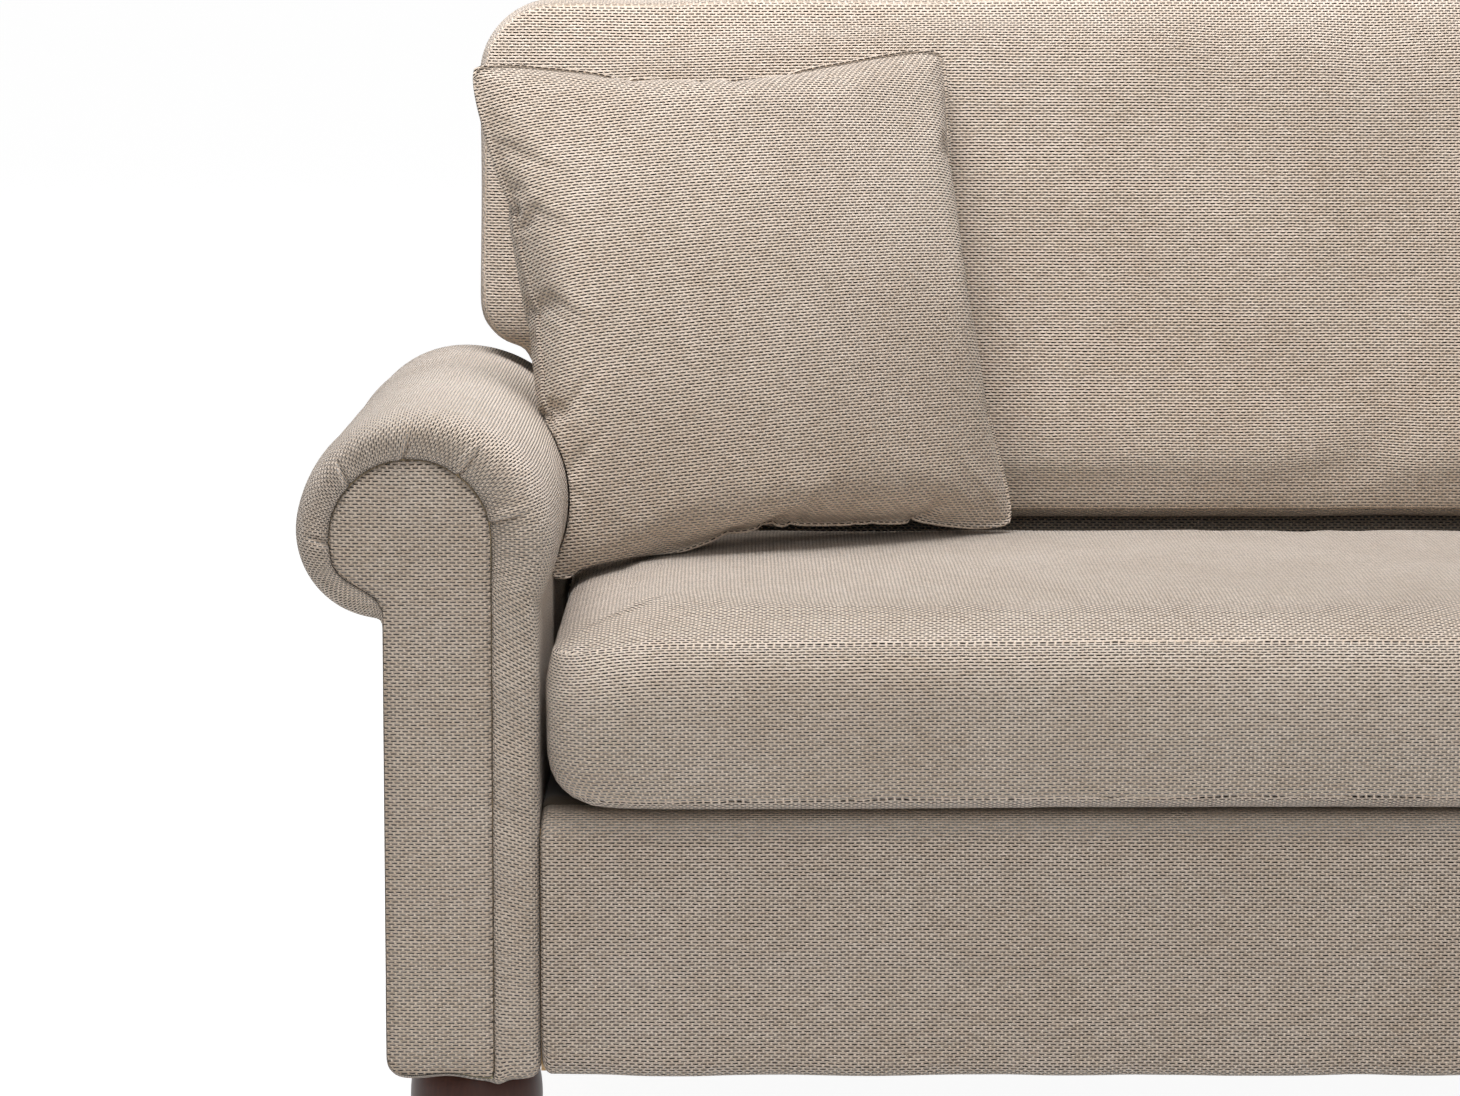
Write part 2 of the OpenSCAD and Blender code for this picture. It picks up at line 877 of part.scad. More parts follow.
// Cuts what is above the seat deck out of a leaned shape
module on_deck(z = deck_z) {
    difference() {
        leaned()
            children();
        translate([-seat_w, Y(0), 0])
            cube([2 * seat_w, 2 * base_d, z]);
    }
}

// Outline of the back inset by i: wider at the bottom, where the arms' inside faces are flat, and tapered
// where the rolls begin
module back_outline(i) {
    r = back_corner_r - i;
    w = back_half_w - i;
    h = back_h - i;
    low_w = back_low_half_w - i;
    polygon([
        [-low_w, -below],
        [low_w, -below],
        [low_w, back_low_h - i],
        [w, back_taper_h - i],
        [w, h - r],
        [-w, h - r],
        [-w, back_taper_h - i],
        [-low_w, back_low_h - i]
    ]);
    translate([-w + r, -below])
        square([2 * (w - r), h + below]);
    for (side = [-1, 1])
        translate([side * (w - r), h - r])
            circle(r = r);
}

module back_layer(y0, y1) {
    translate([0, y1, 0])
        rotate([90, 0, 0])
            linear_extrude(y1 - y0)
                children();
}

module back_cover() {
    color(fabric)
        on_deck()
            difference() {
                back_layer(0, back_t)
                    back_outline(0);
                back_layer(back_cover_t, back_t - back_cover_t)
                    back_outline(back_cover_t);
            }
}

frame_y0 = back_cover_t + back_pad_t + back_web_t;
frame_y1 = frame_y0 + post_t;
top_rail_h = 70;

module back_padding() {
    color(foam)
        on_deck()
            back_layer(back_cover_t, back_cover_t + back_pad_t)
                back_outline(back_cover_t);
}

// Bolts up through the bearer into the three posts
post_mid = back_half_w - back_cover_t - post_w / 2;
back_bolt_x = [-post_mid, 0, post_mid];
back_bolt_head_r = 8;
back_bolt_d = rear_rail_d0 - back_bolt_head_r - 1;
back_bolt_z = rail_top_z - deck_rail_h;
back_bolt_bite = 40;
back_bolt_l = deck_rail_h + back_bolt_bite;
module back_bolt_holes(r) {
    for (x = back_bolt_x)
        translate([x, Y(back_bolt_d), back_bolt_z - eps])
            cylinder(r = r, h = back_bolt_l + eps);
}

module back_bolts() {
    head_t = 5;
    color(steel)
        for (x = back_bolt_x)
            translate([x, Y(back_bolt_d), back_bolt_z]) {
                cylinder(r = bolt_r, h = back_bolt_l);
                translate([0, 0, -head_t])
                    cylinder(r = back_bolt_head_r, h = head_t);
            }
}

// Upright post from x0 to x1, standing on the bearer, under the top rail
module back_upright(x0, x1) {
    color(timber)
        difference() {
            on_deck(rail_top_z)
                back_layer(frame_y0, frame_y1)
                    translate([x0, -2 * below])
                        square([x1 - x0, back_h + 2 * below - back_cover_t - top_rail_h]);
            back_bolt_holes(bolt_r);
        }
}

module back_post() {
    back_upright(post_mid - post_w / 2, post_mid + post_w / 2);
}

module back_centre_post() {
    back_upright(-post_w / 2, post_w / 2);
}

module back_top_rail() {
    color(timber)
        leaned()
            back_layer(frame_y0, frame_y1)
                intersection() {
                    back_outline(back_cover_t);
                    translate([-seat_w, back_h - back_cover_t - top_rail_h])
                        square([2 * seat_w, top_rail_h]);
                }
}

// Straps in two layers: upright ones at the back, long ones across their front
module back_webbing() {
    layer = back_web_t / 2;
    across = [0.25, 0.5, 0.75];
    top = back_h - back_cover_t - 20;
    w = back_half_w - back_cover_t;
    color("#4b4640")
        on_deck()
            for (k = [0:strap_n + 2])
                if (k < strap_n)
                    let (x = (k - (strap_n - 1) / 2) * (2 * w - 2 * back_corner_r) / strap_n)
                    back_layer(back_cover_t + back_pad_t + layer, frame_y0)
                        translate([x - strap_w / 2, -below])
                            square([strap_w, top + below]);
                else
                    back_layer(back_cover_t + back_pad_t, back_cover_t + back_pad_t + layer)
                        translate([-w, across[k - strap_n] * back_h - strap_w / 2])
                            square([2 * w, strap_w]);
}

// Seat cushion

seat_cushion_w = seat_w - 2 * soft_gap;
seat_d0 = -seat_overhang;
seat_d1 = back_front_d - 10;
seat_cushion_d = seat_d1 - seat_d0;
seat_cy = Y((seat_d0 + seat_d1) / 2);

// Plan of a boxed cushion inset by e: rounded corners, with the front and the sides drawn in between them
corner_n = 4;
long_n = 9;
short_n = 4;
function drawn(p, q, n, inward_by) = [
    for (k = [1:n])
        p + (q - p) * k / (n + 1) + inward_by * sin(180 * k / (n + 1)) * [-unit(q - p)[1], unit(q - p)[0]]
];
function cushion_plan(w, d, corner, e, draw) =
    let (
        x = w / 2 - e,
        y = d / 2 - e,
        r = max(corner - e, 4),
        p = [
            [x - r, y - r], [-x + r, y - r], [-x + r, -y + r], [x - r, -y + r]
        ]
    )
    concat(
        arc(p[0], r, 0, 90, corner_n), drawn([x - r, y], [-x + r, y], long_n, 0),
        arc(p[1], r, 90, 180, corner_n), drawn([-x, y - r], [-x, -y + r], short_n, draw),
        arc(p[2], r, 180, 270, corner_n), drawn([-x + r, -y], [x - r, -y], long_n, draw),
        arc(p[3], r, 270, 360, corner_n), drawn([x, -y + r], [x, y - r], short_n, draw)
    );
function seat_ring(e, z, draw) = [
    for (p = cushion_plan(seat_cushion_w, seat_cushion_d, seat_corner_r, e, draw))
        [p[0], seat_cy + p[1], seat_z + z]
];

seam_lo = seat_under;
seam_hi = seat_under + seat_boxing;
crown_run = 240;
seat_crown_run = [
    [crown_run * 0.0125, 0],
    [crown_run * 0.05, 0.3],
    [crown_run * 0.15, 0.58],
    [crown_run * 0.35, 0.82],
    [crown_run * 0.67, 0.96],
    [crown_run, 1]
];
seat_rings = [
    seat_ring(48, 0, seat_draw),
    seat_ring(24, 1.5, seat_draw),
    seat_ring(8, seam_lo * 0.55, seat_draw),
    seat_ring(3, seam_lo, seat_draw),
    seat_ring(0, seam_lo + 8, seat_draw),
    seat_ring(0, seam_lo + seat_boxing * 0.3, 0),
    seat_ring(0, seam_lo + seat_boxing * 0.7, 0),
    seat_ring(0, seam_hi - 8, seat_draw),
    for (k = [0:len(seat_crown_run) - 1])
        let (run = seat_crown_run[k])
        seat_ring(run[0], seam_hi + seat_crown * run[1], k < 3 ? seat_draw : 0)
];

foam_inset = 14;
foam_z0 = 6;
foam_z1 = seat_under + seat_boxing - 4;
module foam_block() {
    translate([0, seat_cy, seat_z + foam_z0])
        linear_extrude(foam_z1 - foam_z0)
            polygon(cushion_plan(seat_cushion_w, seat_cushion_d, seat_corner_r, foam_inset, seat_draw));
}

module seat_cushion_cover() {
    color(fabric)
        difference() {
            skin(seat_rings, true);
            foam_block();
        }
}

module seat_cushion_foam() {
    color(foam)
        foam_block();
}

// Zips: a tape with its slider, which runs along it

slider_w = 9;
slider_l = 14;
slider_t = 4;
tape_t = 1.2;
seat_zip_l = seat_cushion_w - 2 * seat_zip_in;
seat_zip_z = seat_z + seat_under + seat_boxing / 2;

module seat_zip() {
    color("#8d7c6a")
        block(
            [-seat_zip_l / 2, seat_d1, seat_zip_z - zip_w / 2],
            [seat_zip_l / 2, seat_d1 + tape_t, seat_zip_z + zip_w / 2]
        );
}

// A slider with its pull tab, lying flat: x along the tape, y away from it, from its end at the origin
module zip_slider() {
    tab_w = 6;
    tab_l = 1.5 * slider_l;
    tab_hole_r = 1.5;
    color(steel)
        difference() {
            union() {
                translate([0, 0, -slider_w / 2])
                    cube([slider_l, slider_t, slider_w]);
                translate([slider_l - eps, slider_t / 4, -tab_w / 2])
                    cube([tab_l + eps, slider_t / 2, tab_w]);
            }
            translate([slider_l + 0.8 * tab_l, -eps, 0])
                rotate([-90, 0, 0])
                    cylinder(r = tab_hole_r, h = 2 * slider_t);
        }
}

module seat_zip_slider() {
    translate([-seat_zip_l / 2, Y(seat_d1 + tape_t + touch), seat_zip_z])
        zip_slider();
}

// Back cushion: a T-shaped front outline in width and height, sheared back with the lean of the frame

back_z0 = seat_top_z + touch;
back_z1 = back_z0 + back_cushion_h;
notch_r = roll_r + 2 * soft_gap;
body_corner_r = 26;
ear_x = half_w + ear_out;
ear_r = 42;
top_rise = 8;

// Right half of the outline, from the middle of the bottom up to the middle of the top
function half_t() = [
    each [for (k = [0:4]) [(back_half_w - body_corner_r) * k / 5, back_z0]],
    each arc([back_half_w - body_corner_r, back_z0 + body_corner_r], body_corner_r, -90, 0, 3),
    each [for (k = [0:6]) let (a = 180 - (180 - ear_notch_a()) * k / 6) on_circle(roll_c, notch_r, a)],
    each arc([ear_x - ear_r, ear_low_z() + ear_r], ear_r, -80, 0, 3),
    [ear_x, (ear_low_z() + back_z1) / 2],
    each arc([ear_x - back_top_r, back_z1 - back_top_r], back_top_r, 0, 90, 5),
    each [
        for (k = [1:5])
            let (s = 1 - k / 5.5)
            [(ear_x - back_top_r) * s, back_z1 + top_rise * (1 - pow(s, 2))]
    ]
];

// Where the notch leaves the roll and the ear's lower corner starts
function ear_notch_a() = acos((ear_x - ear_r - 8 - roll_c[0]) / notch_r);
function ear_low_z() = roll_c[1] + notch_r + 1;

// A plain rounded outline with as many points, where the crown has levelled out
plateau_in = 120;
plateau_r = 60;
function half_plateau() =
    let (
        x = back_half_w - plateau_in + 30,
        z0 = back_z0 + plateau_in * 0.8,
        z1 = back_z1 - plateau_in * 0.8
    )
    [
        each [for (k = [0:4]) [(x - plateau_r) * k / 5, z0]],
        each arc([x - plateau_r, z0 + plateau_r], plateau_r, -90, 0, 3),
        each [for (k = [1:12]) [x, z0 + plateau_r + (z1 - z0 - 2 * plateau_r) * k / 13]],
        each arc([x - plateau_r, z1 - plateau_r], plateau_r, 0, 90, 5),
        each [for (k = [1:5]) [(x - plateau_r) * (1 - k / 5.5), z1]]
    ];

// Both halves: the right one as it is, then the left one mirrored and run backwards
function both_halves(h) = concat(h, [for (k = [len(h) - 1:-1:1]) [-h[k][0], h[k][1]]]);
t_outline = both_halves(half_t());
plateau = both_halves(half_plateau());

// Ring at blend t towards the plateau, inset e, and n in front of the back frame's plane
function back_ring(t, e, n) = [
    for (p = blend(inward(t_outline, e), plateau, t))
        [p[0], Y(back_plane_d(p[1]) - touch - n), p[1]]
];
back_full_t = back_boxing + back_crown;
back_rings = [
    back_ring(0.5, 0, 0),
    back_ring(0.12, 4, 0),
    back_ring(0.02, 3, 3),
    back_ring(0, 1, 9),
    back_ring(0, 0, back_boxing * 0.3),
    back_ring(0, 0, back_boxing * 0.7),
    back_ring(0, 1, back_boxing - 5),
    back_ring(0, 4, back_boxing),
    back_ring(0.05, 4, back_boxing + back_crown * 0.25),
    back_ring(0.16, 3, back_boxing + back_crown * 0.52),
    back_ring(0.38, 0, back_boxing + back_crown * 0.8),
    back_ring(0.66, 0, back_boxing + back_crown * 0.95),
    back_ring(1, 0, back_full_t)
];

back_fill_rings = [
    back_ring(0.3, 12, 10),
    back_ring(0.12, 12, 14),
    back_ring(0.12, 12, back_boxing - 8),
    back_ring(0.3, 8, back_boxing + back_crown * 0.4),
    back_ring(0.9, 0, back_full_t - 8)
];

// The back zip lies in a slot under the cushion
back_zip_l = 2 * (back_half_w - back_zip_in);
back_zip_mid_d = back_plane_d(back_z0) - touch - back_boxing / 2;
zip_slot_h = tape_t + slider_t + 4 * touch;
module zip_slot() {
    block(
        [-back_zip_l / 2 - 4, back_zip_mid_d - zip_w / 2 - 0.5, back_z0 - eps],
        [back_zip_l / 2 + 4, back_zip_mid_d + zip_w / 2 + 0.5, back_z0 + zip_slot_h]
    );
}

module back_cushion_cover() {
    color(fabric)
        difference() {
            skin(back_rings, true);
            skin(back_fill_rings, true);
            zip_slot();
        }
}

module back_cushion_fill() {
    color(foam)
        skin(back_fill_rings, true);
}

module back_zip() {
    color("#8d7c6a")
        block(
            [-back_zip_l / 2, back_zip_mid_d - zip_w / 2, back_z0 + zip_slot_h - tape_t],
            [back_zip_l / 2, back_zip_mid_d + zip_w / 2, back_z0 + zip_slot_h]
        );
}

module back_zip_slider() {
    translate([-back_zip_l / 2, Y(back_zip_mid_d), back_z0 + zip_slot_h - tape_t - touch])
        rotate([-90, 0, 0])
            zip_slider();
}

// Throw pillows: square, knife-edged, with drawn-in edges and pointed corners

pillow_side_n = 7;
function pillow_square(a, draw) =
    let (c = [[a, a], [-a, a], [-a, -a], [a, -a]])
    [
        for (k = [0:3])
            each concat([c[k]], drawn(c[k], c[(k + 1) % 4], pillow_side_n, draw))
    ];
function pillow_round(r) = [
    for (k = [0:4 * (pillow_side_n + 1) - 1])
        on_circle([0, 0], r, 45 + 360 * k / (4 * (pillow_side_n + 1)))
];

// Ring at scale s of the square, rounder towards the middle, at height h from the middle plane
function pillow_ring(s, h, size, draw) =
    let (a = s * size / 2)
    [for (p = blend(pillow_square(a, s * draw), pillow_round(a), 0.6 * (1 - s))) [p[0], h, p[1]]];
pillow_scales = [0.2, 0.45, 0.66, 0.82, 0.92, 0.975];
function pillow_height(s, t) = t / 2 * pow(1 - pow(s, 2.4), 0.62);
function pillow_rings(size, draw, t) = [
    each [for (s = pillow_scales) pillow_ring(s, -pillow_height(s, t), size, draw)],
    pillow_ring(1, 0, size, draw),
    each [for (s = reversed(pillow_scales)) pillow_ring(s, pillow_height(s, t), size, draw)]
];

// Turns, for the pillow at the right-hand end: in its own plane, back from upright, and towards the middle
function turn_y(p, a) = [p[0] * cos(a) + p[2] * sin(a), p[1], -p[0] * sin(a) + p[2] * cos(a)];
function turn_x(p, a) = [p[0], p[1] * cos(a) - p[2] * sin(a), p[1] * sin(a) + p[2] * cos(a)];
function turn_z(p, a) = [p[0] * cos(a) - p[1] * sin(a), p[0] * sin(a) + p[1] * cos(a), p[2]];
function pillow_turned(p) = turn_z(turn_x(turn_y(p, pillow_roll), -pillow_lean), -pillow_yaw);

// Points along the edges of the turned pillow, to seat it by
pillow_shell = [
    for (r = pillow_rings(pillow_s, pillow_draw, pillow_t), k = [0:len(r) - 1], s = [0:0.25:0.75])
        pillow_turned(r[k] * (1 - s) + r[(k + 1) % len(r)] * s)
];

// Inside face of the arm at a height: flat, then the roll, then nothing in the way above it
function arm_inside(z) =
    let (up = z - roll_z)
    up > roll_r ? seat_w :
    up < -roll_r ? half_w :
    min(up < 0 ? half_w : seat_w, roll_c[0] - sqrt(pow(roll_r, 2) - pow(up, 2)));

// Top of the seat cushion at a distance in from its side
function seat_surface(e) = seat_top_z - seat_crown * (1 - lookup(e, seat_crown_run));

// Seated against the arm, then let down on the crowned seat cushion, and pushed back to the back cushion
pillow_arm_gap = 7.6;
function pillow_x_at(z) =
    min([for (p = pillow_shell) arm_inside(p[2] + z) - pillow_arm_gap - p[0]]);
pillow_x_first = pillow_x_at(seat_top_z - min([for (p = pillow_shell) p[2]]));
pillow_z = max([
    for (p = pillow_shell)
        seat_surface(seat_cushion_w / 2 - p[0] - pillow_x_first + 2 * seat_draw) + touch - p[2]
]);
pillow_x = pillow_x_at(pillow_z);
pillow_y = min([
    for (p = pillow_shell)
        Y(back_plane_d(p[2] + pillow_z) - back_full_t - 2 * touch) - p[1]
]);
function pillow_placed(rings) = [
    for (r = rings) [for (p = r) pillow_turned(p) + [pillow_x, pillow_y, pillow_z]]
];

insert_in = 12;
insert_short = 60;
insert_rings = pillow_placed(pillow_rings(pillow_s - insert_short, pillow_draw, pillow_t - insert_in));
module pillow_cover() {
    color(fabric)
        difference() {
            skin(pillow_placed(pillow_rings(pillow_s, pillow_draw, pillow_t)));
            skin(insert_rings);
        }
}

module pillow_insert() {
    color("#f2efe8")
        skin(insert_rings);
}

front_rail();
back_rail();
left_side() side_rail();  // side_rail_left
side_rail();  // side_rail_right
rear_deck_rail();
centre_rail();
corner_blocks();
seat_springs();
spring_clips();
seat_deck();
dust_cover();
front_rail_pad();
front_rail_cover();
rear_rail_cover();
left_side() arm_cover();  // arm_cover_left
arm_cover();  // arm_cover_right
left_side() arm_padding();  // arm_padding_left
arm_padding();  // arm_padding_right
left_side() arm_panel(front_panel_d);  // arm_front_panel_left
arm_panel(front_panel_d);  // arm_front_panel_right
left_side() arm_panel(rear_panel_d);  // arm_rear_panel_left
arm_panel(rear_panel_d);  // arm_rear_panel_right
left_side() arm_base();  // arm_base_left
arm_base();  // arm_base_right
left_side() arm_top_rail();  // arm_top_rail_left
arm_top_rail();  // arm_top_rail_right
left_side() arm_facing();  // arm_facing_left
arm_facing();  // arm_facing_right
left_side() arm_back_facing();  // arm_back_facing_left
arm_back_facing();  // arm_back_facing_right
arm_bolts();
left_side() arm_foot(0);  // front_foot_left
arm_foot(0);  // front_foot_right
left_side() arm_foot(1);  // rear_foot_left
arm_foot(1);  // rear_foot_right
centre_foot();
foot_plates();
foot_bolts();
foot_nuts();
glides();
left_side() back_post();  // back_post_left
back_post();  // back_post_right
back_centre_post();
back_top_rail();
back_webbing();
back_padding();
back_cover();
back_bolts();
seat_cushion_cover();
seat_cushion_foam();
seat_zip();
seat_zip_slider();
back_cushion_cover();
back_cushion_fill();
back_zip();
back_zip_slider();
left_side() pillow_cover();  // pillow_cover_left
pillow_cover();  // pillow_cover_right
left_side() pillow_insert();  // pillow_insert_left
pillow_insert();  // pillow_insert_right
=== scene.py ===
import json
import math

import bmesh
import bpy
import numpy as np
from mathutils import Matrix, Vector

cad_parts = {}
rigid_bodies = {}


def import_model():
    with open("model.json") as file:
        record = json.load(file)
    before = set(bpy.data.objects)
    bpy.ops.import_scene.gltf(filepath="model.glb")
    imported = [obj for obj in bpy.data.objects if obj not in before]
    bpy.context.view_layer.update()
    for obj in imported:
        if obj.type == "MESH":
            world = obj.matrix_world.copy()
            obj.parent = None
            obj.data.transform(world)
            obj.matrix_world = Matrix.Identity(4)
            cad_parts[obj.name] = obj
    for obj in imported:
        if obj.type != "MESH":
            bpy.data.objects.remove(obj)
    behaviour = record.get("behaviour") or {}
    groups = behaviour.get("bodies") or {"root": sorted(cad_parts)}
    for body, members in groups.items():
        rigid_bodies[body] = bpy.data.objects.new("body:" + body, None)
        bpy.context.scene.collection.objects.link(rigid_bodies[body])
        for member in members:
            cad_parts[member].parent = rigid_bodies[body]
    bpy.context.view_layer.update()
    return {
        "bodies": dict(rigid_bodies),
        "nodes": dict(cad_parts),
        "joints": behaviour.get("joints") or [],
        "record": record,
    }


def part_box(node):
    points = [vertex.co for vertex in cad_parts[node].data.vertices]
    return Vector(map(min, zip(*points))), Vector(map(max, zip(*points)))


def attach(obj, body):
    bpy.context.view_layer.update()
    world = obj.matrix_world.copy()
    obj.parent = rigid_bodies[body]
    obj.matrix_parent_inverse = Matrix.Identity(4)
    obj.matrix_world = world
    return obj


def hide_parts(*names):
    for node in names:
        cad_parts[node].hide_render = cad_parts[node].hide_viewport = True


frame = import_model()

# Timber frame
#
# Rails, posts and corner blocks of sawn pine, screwed and bolted together. The grain runs along each
# board, so there is one finish for boards across the sofa, one for boards from front to back, and one
# for uprights.


def linear(colour):
    """Turns a web colour into the linear red, green and blue that a shader takes, with alpha 1."""
    parts = [int(colour[k:k + 2], 16) / 255 for k in (1, 3, 5)]
    return [c / 12.92 if c <= 0.04045 else ((c + 0.055) / 1.055) ** 2.4 for c in parts] + [1.0]


def add(tree, kind, sockets=None, **settings):
    """Adds a shader node and sets its properties. Each named or numbered input gets a value, or a link from
    a socket or from a node's first output."""
    node = tree.nodes.new("ShaderNode" + kind)
    for key, value in settings.items():
        setattr(node, key, value)
    for key, value in (sockets or {}).items():
        if isinstance(value, bpy.types.Node):
            value = value.outputs[0]
        if isinstance(value, bpy.types.NodeSocket):
            tree.links.new(value, node.inputs[key])
        else:
            node.inputs[key].default_value = value
    return node


def finish(name, **sockets):
    """Starts a material with one shader, and sets the shader's own sockets. Returns all three."""
    material = bpy.data.materials.new(name)
    material.use_nodes = True
    shader = material.node_tree.nodes["Principled BSDF"]
    for key, value in sockets.items():
        shader.inputs[key.replace("_", " ")].default_value = value
    return material, material.node_tree, shader


def mix(tree, amount, dark, light):
    """Colour between two colours, by an amount from 0 to 1. A colour is a hex value or a socket."""
    ends = [tone if isinstance(tone, bpy.types.NodeSocket) else linear(tone) for tone in (dark, light)]
    return add(tree, "Mix", {"Factor": amount, 6: ends[0], 7: ends[1]}, data_type="RGBA").outputs[2]


def surface(tree, shader, tone, dark, light, relief=None, strength=0.5, height=0.0005):
    """Colours a material between two colours by a tone, and raises it by a relief, height in metres."""
    tree.links.new(mix(tree, tone, dark, light), shader.inputs["Base Color"])
    if relief is not None:
        bump = add(tree, "Bump", {"Height": relief, "Strength": strength, "Distance": height})
        tree.links.new(bump.outputs[0], shader.inputs["Normal"])


def repaint(names, material):
    """Gives the frame's own pieces of these names a material."""
    for name in names:
        piece = frame["nodes"][name]
        piece.data.materials.clear()
        piece.data.materials.append(material)


def sawn_pine(name, along):
    """Pine with its growth lines about 6 mm apart across the board, drawn out 30 times along it."""
    material, tree, shader = finish(name, Roughness=0.62, IOR=1.5)
    place = add(tree, "TexCoord").outputs["Object"]
    stretch = [5.5 if axis == along else 165.0 for axis in range(3)]
    spread = add(tree, "Mapping", {"Vector": place, "Scale": stretch})
    grain = add(tree, "TexNoise", {"Vector": spread, "Scale": 1.0, "Detail": 3.0, "Distortion": 0.4})
    lines = add(tree, "MapRange", {"Value": grain, 1: 0.42, 2: 0.66}, interpolation_type="SMOOTHSTEP")
    surface(tree, shader, lines, "#d9b88a", "#b98d57", grain, 0.3, 0.0004)
    return material


pine_across = sawn_pine("pine_sawn_across", 0)
pine_deep = sawn_pine("pine_sawn_front_to_back", 1)
pine_upright = sawn_pine("pine_sawn_upright", 2)
repaint(["front_rail", "back_rail", "rear_deck_rail", "back_top_rail"], pine_across)
repaint(["side_rail_left", "side_rail_right", "centre_rail", "arm_base_left", "arm_base_right",
         "arm_top_rail_left", "arm_top_rail_right"], pine_deep)
repaint(["back_post_left", "back_post_right", "back_centre_post", "corner_blocks"], pine_upright)

# Plywood ends of the arms
#
# Scroll-cut panels of birch plywood, screwed to the arm's base board and top rail. They are pale on the
# face, with the dark glue lines showing on every cut edge.

ply_t = 0.0026
plywood, tree, shader = finish("birch_plywood_cut", Roughness=0.58, IOR=1.5)
place = add(tree, "TexCoord").outputs["Object"]
depth = add(tree, "SeparateXYZ", {0: place}).outputs["Y"]
layer = add(tree, "Math", {0: depth, 1: math.pi / ply_t}, operation="MULTIPLY")
layer = add(tree, "Math", {0: layer}, operation="SINE")
spread = add(tree, "Mapping", {"Vector": place, "Scale": [60.0, 60.0, 4.0]})
grain = add(tree, "TexNoise", {"Vector": spread, "Scale": 1.0, "Detail": 4.0})
plies = add(tree, "MapRange", {"Value": layer, 1: -0.2, 2: 0.2, 3: 0.0, 4: 0.45})
tone = add(tree, "Math", {0: plies, 1: grain}, operation="MULTIPLY")
surface(tree, shader, tone, "#e2c79c", "#9c7444")
repaint(["arm_front_panel_left", "arm_front_panel_right", "arm_rear_panel_left", "arm_rear_panel_right"],
        plywood)

# Springs, clips, bolts and plates
#
# Sinuous springs of drawn steel wire, bent to shape and held at both ends by pressed clips. Bolts, nuts
# and foot plates are zinc plated.

wire, tree, shader = finish("spring_wire_drawn", Roughness=0.34, Metallic=1.0)
shader.inputs["Base Color"].default_value = linear("#8b8d90")
place = add(tree, "TexCoord").outputs["Object"]
drawn = add(tree, "TexNoise", {"Vector": place, "Scale": 900.0, "Detail": 2.0})
bump = add(tree, "Bump", {"Height": drawn, "Strength": 0.15, "Distance": 0.0001})
tree.links.new(bump.outputs[0], shader.inputs["Normal"])
repaint(["seat_springs"], wire)

zinc, tree, shader = finish("zinc_plated_steel", Roughness=0.3, Metallic=1.0)
place = add(tree, "TexCoord").outputs["Object"]
spangle = add(tree, "TexVoronoi", {"Vector": place, "Scale": 260.0})
surface(tree, shader, spangle.outputs["Color"], "#a9adb2", "#c3c6c9")
repaint(["spring_clips", "arm_bolts", "foot_plates", "foot_bolts", "foot_nuts", "back_bolts"], zinc)

# Foam and padding
#
# Cut polyurethane foam under the fabric of the arms, the front rail and the back, and in the seat cushion.
# It has open cells and is matt and pale. The fill of the back cushion is shown the same way.


def cut_foam(name, pale, shade):
    """Foam with open cells about 1.5 mm across: small pits in the surface."""
    material, tree, shader = finish(name, Roughness=0.95, IOR=1.45)
    place = add(tree, "TexCoord").outputs["Object"]
    cells = add(tree, "TexVoronoi", {"Vector": place, "Scale": 650.0}, feature="SMOOTH_F1")
    blotch = add(tree, "TexNoise", {"Vector": place, "Scale": 14.0, "Detail": 2.0})
    surface(tree, shader, blotch, shade, pale, cells, 0.5, 0.0008)
    return material


padding = cut_foam("foam_cut_pale", "#efe6c6", "#e2d6ad")
repaint(["front_rail_pad", "arm_padding_left", "arm_padding_right", "back_padding", "seat_cushion_foam",
         "back_cushion_fill"], padding)

# Woven upholstery
#
# One heavy linen-like cloth covers everything. Pale yarns stand up in staggered bumps, and between them
# short gaps, painted near-black as the shade that falls into them, show as dashes that run across each
# panel. It is matt with a soft bloom at grazing angles.

bump_column = 0.0065
bump_row = 0.00265


